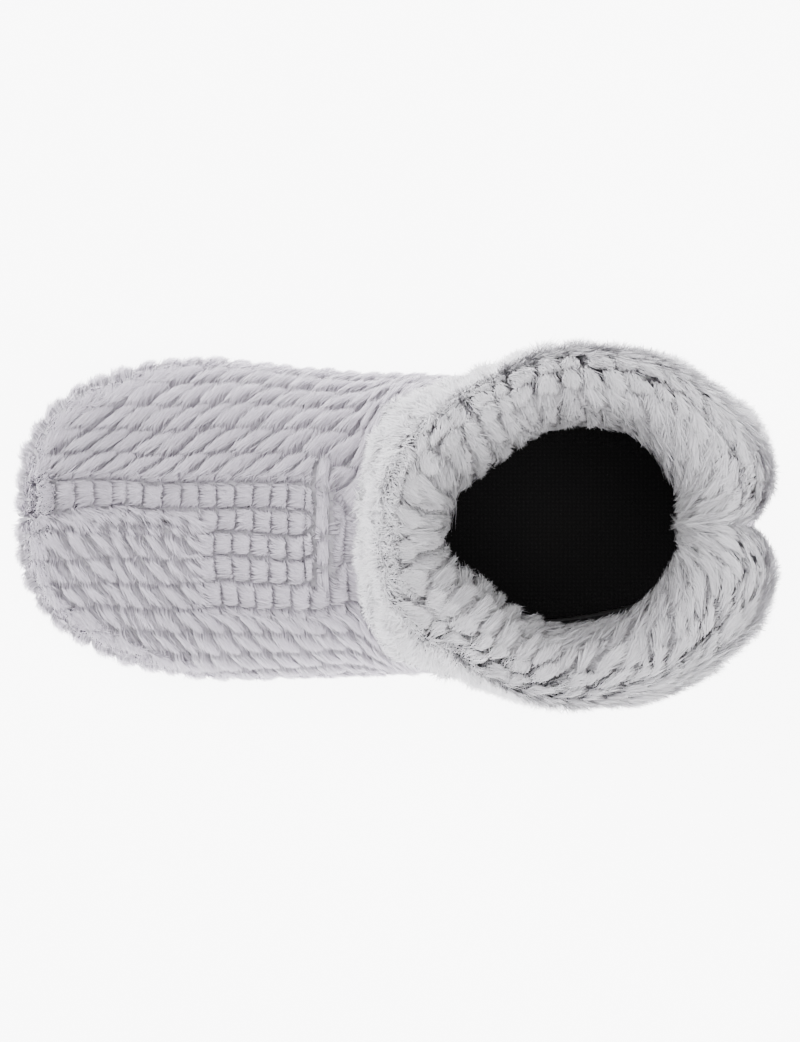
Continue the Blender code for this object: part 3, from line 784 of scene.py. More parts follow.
@dataclass(frozen=True)
class Coat:
    """How one fur grows: the size and form of its tufts and blades."""

    pile: float
    reach: float
    clump: float
    overhang: float
    roundness: float
    low_end: float = 0.55
    edge_height: float = 0.42
    ragged: float = 0.30
    swirl: float = 0.30
    stray: float = 0.12
    blade: float = 0.00041
    tone: float = 0.74
    tuft_tone: float = 0.14
    # the next two darken each tuft's edges and the blades near its roots: painted shade between the tufts and
    # under their tips
    edge_painted_shade: float = 0.16
    root_painted_shade: float = 0.10
    blade_tone: float = 0.085
    sheen: float = 0.26
    point: float = 0.15
    droop: float = 0.0
    twist: float = 0.40

    def growth(self, spots: Spots, rng: np.random.Generator) -> tuple[Array, Array, Array, Array]:
        """Works out how each blade lies within its tuft.

        Args:
            spots: The roots.
            rng: Source of the random numbers.

        Returns:
            Reach in metres, height as a share of the pile, turn from the tuft's lean, and place of the tip.
        """
        count = len(spots.p)
        wanted = self.reach * (1 + self.ragged * (rng.random(count) - 0.5)) * (1 - 0.40 * spots.fuzz)
        wanted = wanted * (1 - self.point * (2 * spots.q) ** 2)
        room = (self.overhang + 0.14 * rng.random(count) - spots.p) * spots.span
        reach = np.minimum(wanted, np.maximum(room, 0.0016))
        end = spots.p + reach / spots.span
        dome = np.sqrt(np.clip(1 - (2 * spots.q) ** 2 * 0.94, 0, 1))
        shingle = self.low_end + (1 - self.low_end) * np.sin(np.pi / 2 * np.clip(end / 0.75, 0, 1))
        height = (self.edge_height + (1 - self.edge_height) * dome) * shingle
        height = height * (1 - self.droop * ease((end - 0.82) / 0.22))
        height = height * (1 - spots.fuzz) + 0.86 * spots.fuzz
        height = height * (0.90 + 0.20 * rng.random(count)) * (0.94 + 0.12 * spots.tuft) * spots.stand
        turn = (hashed(spots.tuft * 97.0, seed=2) - 0.5) * self.swirl * (1 - spots.fuzz)
        turn = turn + rng.normal(0, 1, count) * (self.stray + 0.45 * spots.fuzz)
        return reach, height, turn, end

    def tones(self, spots: Spots, end: Array, rng: np.random.Generator) -> Array:
        """Works out each blade's tone: its own grey, with painted shade at the edges of its tuft, on blades
        that end early in it and near the roots.

        Args:
            spots: The roots.
            end: Place of each tip in its tuft.
            rng: Source of the random numbers.

        Returns:
            Tones between 0 and 1.
        """
        clear = 1 - 0.85 * spots.fuzz
        tone = self.tone + self.tuft_tone * (spots.tuft - 0.5) * clear + spots.tone
        # painted shade: darker towards the tuft's edges, on blades whose tips end early in it, and near the
        # roots under the tips of the tuft before
        tone = tone - self.edge_painted_shade * ((2 * spots.q) ** 2 - 0.3) * clear
        tone = tone - 0.16 * np.clip(0.55 - end, 0, 1) * clear
        tone = tone - self.root_painted_shade * np.clip(1 - spots.p / 0.5, 0, 1) * clear
        return tone + rng.normal(0, self.blade_tone, len(spots.p))

    def shading(self, spots: Spots, normals: Array, lie: Array, end: Array, rng: np.random.Generator) -> Array:
        """Rounds the shading over each tuft, with a little difference from hair to hair.

        Args:
            spots: The roots.
            normals: The surface's normals at the tips.
            lie: The way that each blade lies.
            end: Place of each tip in its tuft.
            rng: Source of the random numbers.

        Returns:
            Unit normals.
        """
        clear = 1 - 0.8 * spots.fuzz
        shades = normals + spots.beside * (spots.q * self.roundness * clear)[:, None]
        shades = shades + lie * (0.5 * (end - 0.55) * clear)[:, None]
        return unit(shades + rng.normal(0, self.sheen, normals.shape))

    def shaped(
        self, spots: Spots, lines: tuple[Array, Array, Array], normals: Array, lie: Array, end: Array,
        rng: np.random.Generator, last: "Last",
    ) -> Blades:
        """Gives blades their shading, tones, widths and twists.

        Args:
            spots: The roots' places in their tufts.
            lines: Roots, bends and tips, measured from the toe.
            normals: The surface's normals at the tips.
            lie: The way that each blade lies.
            end: Place of each tip in its tuft.
            rng: Source of the random numbers.
            last: The foot form.

        Returns:
            The blades, in the frame.
        """
        roots, bends, tips = (last.to_frame(points) for points in lines)
        shades = self.shading(spots, normals, lie, end, rng)
        tones = self.tones(spots, end, rng)
        widths = self.blade * (0.75 + 0.5 * rng.random(len(end)))
        return Blades(roots, bends, tips, normals, shades, tones, widths, rng.normal(0, self.twist, len(end)))

    def blades(self, spots: Spots, rng: np.random.Generator, last: "Last") -> Blades:
        """Grows straight over the surface.

        Args:
            spots: The roots, measured from the toe.
            rng: Source of the random numbers.
            last: The foot form.

        Returns:
            The blades, in the frame.
        """
        reach, height, turn, end = self.growth(spots, rng)
        lie, _ = turned(spots.ahead, spots.beside, turn)
        rise = (self.pile * height)[:, None] * spots.normals
        gather = -spots.beside * (spots.q * spots.width * self.clump * (1 - spots.fuzz))[:, None]
        bends = spots.roots + lie * (reach * 0.34)[:, None] + rise * 0.76 + gather * 0.4
        tips = spots.roots + lie * reach[:, None] + rise + gather
        return self.shaped(spots, (spots.roots, bends, tips), spots.normals, lie, end, rng, last)


def grid_piece(
    name: str,
    sheets: list[tuple[Array, bool, int]],
    rims: list[tuple[Array, Array, int]],
    materials: list[bpy.types.Material],
) -> bpy.types.Object:
    """Makes one mesh of grids of points and the strips that join their edges.

    Args:
        name: Name of the piece.
        sheets: Grid of points, whether its faces turn over, and material index, for each sheet.
        rims: Two rows of points and a material index, for each strip between them.
        materials: The piece's materials.

    Returns:
        The object, linked to the scene.
    """
    points: list[Array] = []
    faces: list[Array] = []
    slots: list[Array] = []
    start = 0
    strips = [(np.stack([first, second], axis=1), False, slot) for first, second, slot in rims]
    for grid, flip, slot in [*sheets, *strips]:
        rows, columns = grid.shape[:2]
        ids = start + np.arange(rows * columns).reshape(rows, columns)
        quads = np.stack([ids[:-1, :-1], ids[1:, :-1], ids[1:, 1:], ids[:-1, 1:]], axis=-1).reshape(-1, 4)
        faces.append(quads[:, ::-1] if flip else quads)
        slots.append(np.full(len(quads), slot))
        points.append(grid.reshape(-1, 3))
        start += rows * columns
    mesh = bpy.data.meshes.new(name)
    mesh.from_pydata(np.concatenate(points).tolist(), [], np.concatenate(faces).tolist())
    mesh.polygons.foreach_set("material_index", np.concatenate(slots).astype(np.int32))
    for material in materials:
        mesh.materials.append(material)
    mesh.polygons.foreach_set("use_smooth", np.ones(len(mesh.polygons), bool))
    made = bpy.data.objects.new(name, mesh)
    bpy.context.scene.collection.objects.link(made)
    return made


def give(name: str, material: bpy.types.Material) -> bpy.types.Object:
    """Gives a carried-over solid its finish.

    Args:
        name: Name of the solid.
        material: Its material.

    Returns:
        The solid's object.
    """
    solid = bpy.data.objects[name]
    for place in solid.material_slots:
        place.material = material
    if not solid.material_slots:
        solid.data.materials.append(material)
    return solid


def carry(piece: bpy.types.Object) -> bpy.types.Object:
    """Lets a piece ride on the shoe.

    Args:
        piece: The piece.

    Returns:
        The same piece.
    """
    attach(piece, "root")
    return piece


@dataclass
class FootFur:
    """Fur of the foot: the upper's skin and lining, and the tufts that stand on it in rows."""

    last: Last
    coat: Coat = Coat(
        pile=0.0042, reach=0.0070, clump=0.50, overhang=0.98, roundness=1.5, low_end=0.45, droop=0.34
    )
    wall: float = 0.003
    skin: float = 0.0029
    row_pitch: float = 0.0083
    lock_pitch: float = 0.0063
    long_pitch: float = 0.0084
    toe_pitch: float = 0.0071
    per_mm2: float = 6.6
    band_top: float = 0.0235
    seam: float = 0.1011
    seam_gap: float = 0.0052
    seam_reach: float = 0.0205
    seam_middle: float = -0.0015
    stitch_wave: float = 0.0006
    strap_swing: float = 78.0
    hem_front: float = 0.083
    hem_back: float = 0.062
    tucked: float = 0.010
    drift: float = 0.0006
    block_edge: float = 0.0125
    low_edge: float = 0.0042
    toe_back: float = -0.060
    tip_front: float = -0.1165
    counts: tuple[int, int, int] = (34, 34, 54)
    columns: int = 44
    sheets: dict[int, Sheet] = field(default_factory=dict)

    def prepare(self) -> None:
        """Lays the form's sheets."""
        halves = {side: self.last.half_grid(side, self.counts, self.columns) for side in (1, -1)}
        self.sheets = Sheet.from_ring(halves, self.counts[0] + self.counts[1])

    def arc(self, s: Array, z: Array, side: int) -> Array:
        """Measures from the ridge down a section to a height.

        Args:
            s: Places along the foot.
            z: Heights.
            side: 1 or -1.

        Returns:
            Lengths in metres.
        """
        width = self.last.half_width(s, side)
        rise = np.maximum(self.last.crown(s) - self.last.widest_height, 1e-5)
        share = np.clip((z - self.last.widest_height) / rise, 0, 1)
        power = self.last.section_power
        ratios = np.linspace(0.05, 3.5, 60)
        angles = np.linspace(0, np.pi / 2, 240)
        level = np.cos(angles)
        across = (1 - level**power) ** (1 / power)
        table = [running_length(np.stack([across, level * ratio, 0 * level], axis=1)) for ratio in ratios]
        place = np.clip(np.interp(rise / width, ratios, np.arange(60.0)), 0, 58.999)
        column = np.arccos(share) / (np.pi / 2) * 239
        i, j = place.astype(int), np.clip(column.astype(int), 0, 238)
        a, b = place - i, column - j
        table = np.array(table)
        near = table[i, j] * (1 - b) + table[i, j + 1] * b
        far = table[i + 1, j] * (1 - b) + table[i + 1, j + 1] * b
        return (near * (1 - a) + far * a) * width

    def rows_at(self, points: Array, side: int) -> Array:
        """Finds how far from the middle row each point lies.

        Args:
            points: Points measured from the toe.
            side: 1 or -1.

        Returns:
            Signed lengths across the rows in metres, positive on the medial side.
        """
        s, z = points[:, 0], points[:, 2]
        on_vamp = self.arc(s, z, side)
        limit = np.full_like(s, self.seam)
        whole = self.arc(limit, np.full_like(s, self.last.widest_height), side)
        on_shaft = whole - (z - self.last.widest_height) * 1.04
        shaft = ease((s - self.seam + 0.006) / 0.030)
        below = np.maximum(self.last.widest_height - z, 0)
        return side * (on_vamp * (1 - shaft) + on_shaft * shaft + below)

    def hem(self, s: Array) -> Array:
        """Reads the height of the cuff's hem.

        Args:
            s: Places along the foot.

        Returns:
            Heights in metres.
        """
        front = self.last.crossing(self.hem_front, False)
        back = self.last.crossing(self.hem_back, True)
        t = np.clip((s - front) / (back - front), 0, 1)
        return self.hem_front + (self.hem_back - self.hem_front) * t**0.8

    def frames(self, points: Array, normals: Array, side: int) -> tuple[Array, Array]:
        """Finds the two directions of the rows at each point.

        Args:
            points: Points measured from the toe.
            normals: Unit normals there.
            side: 1 or -1.

        Returns:
            Directions along the rows towards the heel, and across them towards the medial side.
        """
        level = unit(TOE_TO_HEEL - normals * normals[:, :1])
        around = unit(side * np.cross(normals, UP))
        back = ease((points[:, 0] - 0.62 * self.last.length) / (0.12 * self.last.length))[:, None]
        along = unit(level * (1 - back) + around * back)
        return along, np.cross(normals, along)

    def lean_field(self, s: Array, c: Array) -> tuple[Array, Array, Array]:
        """Sets the way that the tufts lie, as in the photograph.

        Args:
            s: Places along the foot.
            c: Signed length across the rows.

        Returns:
            Angles from the rows in radians, where the tufts are blocks, and the share of a tuft that is slit.
        """
        x = s - self.last.origin_x
        low = ease((self.low_edge - c) / 0.002)
        near_toe = ease((self.toe_back - x) / 0.012)
        far_low = ease((-0.0290 - c) / 0.003)
        high = ease((c - self.block_edge) / 0.002)
        steep = np.radians(50.0) * np.maximum(low * near_toe, far_low)
        angle = np.radians(38.0) * high - steep
        quarter = ease((s - self.seam - 0.010) / 0.03)
        outer = np.where(c > 0, 1.0, -1.0) * ease((np.abs(c) - 0.016) / 0.008)
        angle = angle * (1 - quarter) + quarter * np.radians(36.0) * outer
        heel = ease((s - 0.88 * self.last.length) / (0.08 * self.last.length))
        angle = angle + heel * np.where(c > 0, 1.0, -1.0) * np.radians(22.0)
        block = np.abs(angle) < np.radians(20.0)
        plain = 0.040 * (1 - 0.6 * ease((-0.085 - x) / 0.02))
        return angle, block, np.where(block, plain, 0.12 + 0.15 * low * near_toe + 0.06 * far_low)

    def way_along(self, s: Array, y: Array) -> Array:
        """Measures along the rows: over the toe's round, straight back and round the heel.

        Args:
            s: Places along the foot.
            y: Distances from the middle.

        Returns:
            Lengths in metres.
        """
        line = np.linspace(0, self.last.toe_round, 400)
        run = running_length(np.stack([line, self.last.crown(line), np.zeros(400)], axis=1))
        ahead = np.interp(s, line, run) + np.maximum(s - self.last.toe_round, 0)
        turn_at = 0.76 * self.last.length
        sweep = np.arctan2(np.abs(y), np.maximum(s - turn_at, 1e-5))
        over = run[-1] - self.last.toe_round
        return np.where(s > turn_at, turn_at + over + 0.047 * (np.pi / 2 - sweep), ahead)

    def rooted(self, side: int, rng: np.random.Generator) -> tuple[Array, Array, Array]:
        """Scatters roots over one half of the foot, above the band and outside the cuff.

        Args:
            side: 1 or -1.
            rng: Source of the random numbers.

        Returns:
            Points from the toe, normals, and how far up from the band each lies as a share of its station.
        """
        u, v = self.sheets[side].scatter(self.per_mm2, rng)
        points, normals = self.sheets[side].sample(u, v)
        s, z = points[:, 0], points[:, 2]
        rise = v / self.columns - self.band_line(u, side)
        hidden = (s > self.last.crossing(self.hem_front, False)) & (z > self.hem(s) + self.tucked)
        density = np.where(s > self.seam + 0.020, 0.60, 1.0)
        keep = (rise > 0) & ~hidden & (rng.random(len(s)) < density)
        return points[keep], normals[keep], rise[keep]

    def tufts(self, points: Array, normals: Array, side: int) -> tuple[Spots, Array, Array, Array]:
        """Sorts roots into tufts: leaning ones in rows, and square blocks along the middle of the vamp.

        Args:
            points: Points measured from the toe.
            normals: Unit normals there.
            side: 1 or -1.

        Returns:
            The spots, their signed lengths across the rows, where they are blocks, and the share that is slit.
        """
        s = points[:, 0]
        drift = [self.drift * ripple(points, 0.035, seed) for seed in (5, 6)]
        c = self.rows_at(points, side) + drift[0]
        angle, block, slit = self.lean_field(s, c)
        row = np.floor(c / self.row_pitch + 0.5)
        off = c - row * self.row_pitch
        sine = np.where(block, 1.0, np.sin(angle))
        sine = np.sign(sine) * np.maximum(np.abs(sine), 0.3)
        slant = np.where(block, 0.0, np.cos(angle) / sine)
        phase = hashed(row, seed=3) * np.where(block, 0.35, 1.0)
        pitch = np.where(block, self.lock_pitch, np.where(c > 0, self.long_pitch, self.toe_pitch))
        place = (self.way_along(s, points[:, 1]) + drift[1] - off * slant) / pitch + phase
        cell = np.floor(place)
        share = place - cell
        sign = np.where(block, 1.0, np.sign(angle))
        ahead, beside = turned(*self.frames(points, normals, side), angle)
        plain = np.zeros(len(s))
        spots = Spots(
            roots=points + normals * self.skin,
            normals=normals,
            ahead=ahead,
            beside=beside * np.where(block, 1.0, -sign)[:, None],
            p=np.where(block, share - 0.09, off * sign / self.row_pitch + 0.5),
            q=np.where(block, off / self.row_pitch, share - 0.5),
            span=np.where(block, pitch, self.row_pitch / np.abs(sine)),
            width=np.where(block, self.row_pitch, pitch * np.abs(sine)),
            tuft=hashed(cell, row, seed=9),
            tone=plain,
            fuzz=plain,
            stand=plain,
        )
        return spots, c, block, slit

    def sew(self, spots: Spots, points: Array, side: int) -> tuple[Array, Array, Array]:
        """Lays the strap of the throat seam, and ends the tufts ahead of it at its first line.

        Args:
            spots: The spots, which are changed.
            points: Their points measured from the toe.
            side: 1 or -1.

        Returns:
            Where the strap is, how dark the stitched lines are, and how far the fur sags behind them.
        """
        past = points[:, 0] - self.last.origin_x - (self.seam - self.last.origin_x)
        y = points[:, 1]
        off = np.abs(y - self.seam_middle)
        strap = (past > 0.0008) & (past < self.seam_gap - 0.0008) & (off < self.seam_reach)
        swing = np.radians(self.strap_swing) * np.where(hashed(np.floor(y / 0.005), seed=4) > 0.4, 1, -1)
        strap_way, _ = turned(*self.frames(points, spots.normals, side), swing)
        spots.ahead = np.where(strap[:, None], strap_way, spots.ahead)
        spots.q = np.where(strap, past / self.seam_gap - 0.5, spots.q)
        spots.p = np.where(strap, 0.35, spots.p)
        before = (past < 0) & (past > -0.009) & (off < self.seam_reach)
        room = (0.0002 - past) / np.maximum(spots.ahead[:, 0], 0.3) / np.maximum(1.0 - spots.p, 0.12)
        spots.span = np.where(before, np.minimum(spots.span, room), spots.span)
        wave = self.stitch_wave * np.sin(y * 420.0)
        lines = np.maximum(bell(past, wave, 0.0010), bell(past, self.seam_gap - wave, 0.0012))
        dark = lines * ease((self.seam_reach + 0.001 - off) / 0.003)
        sag = ease((0.0170 - off) / 0.004) * bell(past - self.seam_gap, 0.0022, 0.0020)
        return strap, dark, sag

    def spots(self, side: int, rng: np.random.Generator) -> Spots:
        """Sorts the roots of one half of the foot, and sinks the blades in the slits between tufts.

        Args:
            side: 1 or -1.
            rng: Source of the random numbers.

        Returns:
            The spots that grow.
        """
        points, normals, rise = self.rooted(side, rng)
        s, z = points[:, 0], points[:, 2]
        x = s - self.last.origin_x
        spots, c, block, slit = self.tufts(points, normals, side)
        strap, dark, sag = self.sew(spots, points, side)
        p, q = spots.p, spots.q
        luck = rng.random(len(s))
        low_toe = ease((self.low_edge - c) / 0.002) * ease((self.toe_back - x) / 0.012)
        widen = np.where(block, 1.0, np.where(c > 0, 1.5 - 1.1 * p, 0.6 + 0.9 * p + 0.3 * low_toe))
        opened = slit * widen * (0.6 + 0.8 * spots.tuft)
        in_slit = (np.abs(q) > 0.5 - opened) & (luck < np.where(block, 0.50, 0.97))
        at_root = (p < 0.10) & (luck < 0.5) & ~block & (c > self.block_edge)
        border = np.maximum(ease(1.5 - rise / 0.040), 0.9 * ease((self.tip_front - x) / 0.002))
        sunk = (in_slit | at_root) & (border < 0.5) & ~strap
        bare = sunk & (rng.random(len(s)) < np.where(block, 0.45, 0.55))
        grows = ~bare & ~((dark > 0.55) & (luck < 0.94))
        # random tone, darker on the stitched lines, and painted shade where the fur sags into a dip behind the
        # strap
        tone = 0.05 * ripple(points, 0.05, 21) - 0.25 * dark - 0.22 * sag
        # painted shade on the blades sunk in the slits between tufts, deepest on the low toe
        spots.tone = tone - np.where(block, 0.04, 0.34 + 0.14 * low_toe) * sunk + 0.08 * border
        spots.fuzz = 0.7 * border
        behind = s > self.last.crossing(self.hem_front, False)
        under = ease((z - self.hem(s) + self.tucked) / 0.010) * behind
        stand = (1 - 0.8 * under) * (1 - 0.55 * sag) * np.where(strap, 0.62, 1.0)
        stand = stand * np.where(sunk, np.where(block, 0.62, 0.38), 1.0)
        spots.stand = stand * np.where(block & ~strap, 1 + 0.35 * (2 * q) ** 2, 1.0)
        return spots.only(grows)

    def band_line(self, u: Array, side: int) -> Array:
        """Reads how far up each station the side band reaches.

        Args:
            u: Places along the stations.
            side: 1 or -1.

        Returns:
            Shares of the station's length.
        """
        grid = self.sheets[side].points
        spans = np.linalg.norm(np.diff(grid, axis=1), axis=2).sum(1)
        return self.band_top / np.interp(u, np.arange(len(spans)), spans)

    def shell(self, ground: bpy.types.Material, knit: bpy.types.Material) -> bpy.types.Object:
        """Makes the upper's wall, with its fur ground outside and its lining inside.

        Args:
            ground: Material of the outer face.
            knit: Material of the lining.

        Returns:
            The piece that stands for the upper.
        """
        sheets, rims = [], []
        ridge = self.counts[0] + self.counts[1]
        for side in (1, -1):
            sheet = self.sheets[side]
            lift = np.full(sheet.points.shape[:2], self.skin)
            lift[:, :2] = 0.0
            outer = self.last.to_frame(sheet.points + sheet.normals * lift[..., None])
            inner = self.last.to_frame(sheet.points - sheet.normals * self.wall)
            for grid in (outer, inner):
                grid[: ridge + 1, -1, 1] = 0.0
            sheets += [(outer, side < 0, 0), (inner, side > 0, 1)]
            rims += [(outer[ridge:, -1], inner[ridge:, -1], 1), (outer[:, 0], inner[:, 0], 0)]
        made = grid_piece("upper_shell", sheets, rims, [ground, knit])
        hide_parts("upper")
        return carry(made)

    def dress(self, fur: bpy.types.Material) -> list[bpy.types.Object]:
        """Grows all the fur of the foot, in pieces of a workable size.

        Args:
            fur: The fur's material.

        Returns:
            The pieces.
        """
        pieces = []
        for side in (1, -1):
            name = Side(side).name.lower()
            rng = np.random.default_rng(40 + side)
            spots = self.spots(side, rng)
            blades = self.coat.blades(spots, rng, self.last)
            vamp = spots.roots[:, 0] < self.seam + 0.02
            pieces.append(carry(blades.only(vamp).piece(f"vamp_fur_{name}", fur)))
            pieces.append(carry(blades.only(~vamp).piece(f"quarter_fur_{name}", fur)))
        return pieces


@dataclass
class BandFur:
    """The fur strip round the shoe above the sole."""

    foot: FootFur
    coat: Coat = Coat(
        pile=0.0050, reach=0.0072, clump=0.66, overhang=1.10, roundness=1.5, swirl=0.5, stray=0.16, tone=0.80
    )
    backing: float = 0.0020
    seam_gap: float = 0.0003
    fringe: float = 0.80
    lock_pitch: float = 0.0080
    rows: int = 2
    lean: float = 62.0
    per_mm2: float = 4.0

    def lift(self, share: Array) -> Array:
        """Height of the padded ground over the upper's wall, at a share of the way up the strip."""
        return self.seam_gap + self.backing * np.sin(np.pi * np.clip(share, 0.06, 0.94)) ** 0.5

    def shell(self, ground: bpy.types.Material) -> bpy.types.Object:
        """Makes the strip's padded ground.

        Args:
            ground: Material of the ground.

        Returns:
            The piece that stands for the side band.
        """
        last = self.foot.last
        sheets, rims = [], []
        for side in (1, -1):
            sheet = self.foot.sheets[side]
            u = np.arange(len(sheet.points), dtype=float)
            top = self.foot.band_line(u, side) * self.foot.columns
            shares = np.linspace(0.02, 0.985, 12)
            places = np.repeat(u, len(shares)), (top[:, None] * shares).ravel()
            points, normals = sheet.sample(*places)
            outer = last.to_frame(points + normals * np.tile(self.lift(shares), len(u))[:, None])
            inner = last.to_frame(points + normals * self.seam_gap)
            outer, inner = (grid.reshape(len(u), len(shares), 3) for grid in (outer, inner))
            sheets += [(outer, side < 0, 0), (inner, side > 0, 0)]
            rims += [(outer[:, 0], inner[:, 0], 0), (outer[:, -1], inner[:, -1], 0)]
        made = grid_piece("band_shell", sheets, rims, [ground])
        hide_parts("side_band")
        return carry(made)

    def spots(self, side: int, rng: np.random.Generator) -> Spots:
        """Scatters roots over the strip on one side and sorts them into tufts.

        Args:
            side: 1 or -1.
            rng: Source of the random numbers.

        Returns:
            The spots that grow.
        """
        foot = self.foot
        sheet = foot.sheets[side]
        u, v = sheet.scatter(self.per_mm2, rng)
        band = foot.band_line(u, side) * foot.columns
        keep = v < band * 1.05
        u, v, band = u[keep], v[keep], band[keep]
        points, normals = sheet.sample(u, v)
        share = np.minimum(v / band, 1.0)
        around = unit(side * np.cross(normals, UP))
        down = unit(np.cross(around, normals))
        down = np.where(down[:, 2:] > 0, -down, down)
        steps = np.linalg.norm(np.diff(sheet.points[:, foot.columns // 4], axis=0), axis=1)
        way = np.interp(u, np.arange(len(sheet.points)), np.concatenate([[0], np.cumsum(steps)]))
        row = np.minimum(np.floor((1 - share) * self.rows), self.rows - 1)
        p = (1 - share) * self.rows - row
        height = foot.band_top / self.rows
        angle = math.radians(self.lean)
        place = way / self.lock_pitch - (p - 0.5) * height / math.tan(angle) / self.lock_pitch + 0.5 * row
        cell = np.floor(place)
        q = place - cell - 0.5
        top = share > self.fringe
        flip = np.where(top, -0.75, 1.0)[:, None]
        ones = np.ones(len(u))
        floor_room = np.clip((points[:, 2] - 0.0075) / 0.007, 0.12, 1.0)
        found = Spots(
            roots=points + normals * self.lift(share)[:, None],
            normals=normals,
            ahead=around * math.cos(angle) + down * flip * math.sin(angle),
            beside=around * math.sin(angle) - down * flip * math.cos(angle),
            p=p,
            q=q,
            span=height / math.sin(angle) * np.where(top, 0.75, 1.0) * floor_room,
            width=ones * self.lock_pitch * math.sin(angle),
            tuft=hashed(cell, row, np.full(len(u), side), seed=31),
            tone=0.05 * ripple(points, 0.04, 23) + 0.12 * ease((share - 0.68) / 0.1),
            fuzz=0.12 * ones,
            stand=ones,
        )
        return found.only(~((np.abs(q) > 0.40) & (rng.random(len(u)) < 0.75)))

    def dress(self, fur: bpy.types.Material) -> list[bpy.types.Object]:
        """Grows the strip's fur.

        Args:
            fur: The fur's material.

        Returns:
            The pieces.
        """
        pieces = []
        for side in (1, -1):
            rng = np.random.default_rng(60 + side)
            spots = self.spots(side, rng)
            blades = self.coat.blades(spots, rng, self.foot.last)
            pieces.append(carry(blades.piece(f"band_fur_{Side(side).name.lower()}", fur)))
        return pieces


@dataclass
class Cuff:
    """The turned-down cuff: a skin that hooks over the shaft, and long locks in rows round it."""

    last: Last
    thickness: float = 0.0145
    top: float = 0.012
    inside: float = 0.0065
    inside_depth: float = 0.016
    front_drop: float = 0.023
    back_drop: float = 0.044
    split_top: float = 0.0016
    split_hem: float = 0.016
    corner: float = 0.020
    wall: float = 0.003
    clear: float = 0.0026
    below_hem: float = 1.3
    skin_share: float = 0.54
    nap_end: float = 0.93
    stations: int = 180
    coat: Coat = Coat(
        pile=0.0066,
        reach=0.0092,
        clump=0.70,
        overhang=1.50,
        roundness=1.7,
        low_end=0.70,
        edge_height=0.50,
        # painted shade at each lock's edges and near its roots, deeper than on the foot
        edge_painted_shade=0.24,
        root_painted_shade=0.20,
        point=0.35,
        swirl=0.6,
        stray=0.16,
        ragged=0.5,
        tuft_tone=0.20,
        tone=0.79,
    )
    row_pitch: float = 0.0088
    lock_pitch: float = 0.0070
    per_mm2: float = 4.2
    outer: Sheet | None = None
    ground: Sheet | None = None
    # place round the cuff, depth of the pile inside the mouth and thickness outside, as shares of their sizes
    around: Table = (
        (0.00, 1.00, 0.95),
        (0.05, 0.85, 1.16),
        (0.12, 0.50, 1.18),
        (0.25, 0.40, 1.08),
        (0.33, 0.60, 0.76),
        (0.42, 0.90, 0.60),
        (0.48, 1.20, 0.66),
        (0.53, 0.90, 0.72),
        (0.60, 0.80, 0.74),
        (0.68, 0.55, 0.90),
        (0.76, 0.40, 1.16),
        (0.88, 0.50, 1.35),
        (0.95, 0.85, 1.25),
        (1.00, 1.00, 0.95),
    )
    # hanging leg from the hem up: place between rim and hem, and share of the whole distance from the shaft
    leg: Table = (
        (1.00, 0.06),
        (1.02, 0.30),
        (1.08, 0.62),
        (1.03, 0.90),
        (0.86, 1.02),
        (0.66, 1.04),
        (0.46, 1.02),
        (0.26, 0.97),
        (0.08, 0.88),
    )
    # fold over the rim: way outwards and way upwards, as shares of the reach on that side
    fold: Table = (
        (0.74, 0.42),
        (0.50, 0.80),
        (0.18, 1.00),
        (-0.15, 0.98),
        (-0.55, 0.78),
        (-0.90, 0.35),
        (-1.00, -0.15),
        (-0.94, -0.60),
        (-0.60, -1.00),
    )

    def form_normal(self, points: Array, side: int) -> Array:
        """Finds the form's outward normals above the widest line.

        Args:
            points: Points measured from the toe.
            side: 1 or -1.

        Returns:
            Unit normals.
        """
        last, power = self.last, self.last.section_power

        def level(s: Array, y: Array, z: Array) -> Array:
            """Value of the section's superellipse, which is 1 on the form."""
            room = np.maximum(last.crown(s) - last.widest_height, 1e-6)
            rise = np.maximum(z - last.widest_height, 0) / room
            return (np.abs(y) / np.maximum(last.half_width(s, side), 1e-6)) ** power + rise**power

        step = 0.0003
        s, y, z = points.T
        across = level(s, np.abs(y) + step, z) - level(s, np.maximum(np.abs(y) - step, 0), z)
        slope = [level(s + step, y, z) - level(s - step, y, z), np.sign(y) * across]
        return unit(np.stack([*slope, level(s, y, z + step) - level(s, y, z - step)], axis=1))

    def loop(self, share: float) -> tuple[Array, Array]:
        """Draws the loop round the shaft at one share of the way to the hem.

        Args:
            share: 0 at the rim and 1 at the hem.

        Returns:
            Points from the split's medial side over the front to its lateral side, and their normals.
        """
        half = self.stations // 2
        halves = []
        for side in (1, -1):
            front_z = self.last.collar_height - self.front_drop * share
            back_z = self.last.collar_height - self.back_drop * share
            front, back = self.last.crossing(front_z, False), self.last.crossing(back_z, True)
            t = (1 - np.cos(np.linspace(0, np.pi, 640))) / 2
            s, z = front + (back - front) * t, front_z + (back_z - front_z) * t**0.8
            line = np.stack([s, self.last.side_at(s, z, side), z], axis=1)
            line[[0, -1], 1] = 0
            gap = self.split_top + (self.split_hem - self.split_top) * max(share, 0) ** 2.5
            line = at_length(line, np.linspace(0, running_length(line)[-1] - gap / 2, half + 1))
            halves.append((line, self.form_normal(line, side)))
        points = np.concatenate([halves[0][0][::-1], halves[1][0][1:]])
        normals = np.concatenate([halves[0][1][::-1], halves[1][1][1:]])
        normals[half] = unit(normals[half - 1] + normals[half + 1])
        return points, normals

    @staticmethod
    def outward(rim: Array) -> Array:
        """Finds the level directions away from the mouth.

        Args:
            rim: Points round the rim.

        Returns:
            Unit directions.
        """
        along = np.gradient(rim, axis=0)
        out = unit(np.stack([along[:, 1], -along[:, 0], np.zeros(len(rim))], axis=1))
        return out * np.sign((out * (rim - rim.mean(0))).sum(1))[:, None]

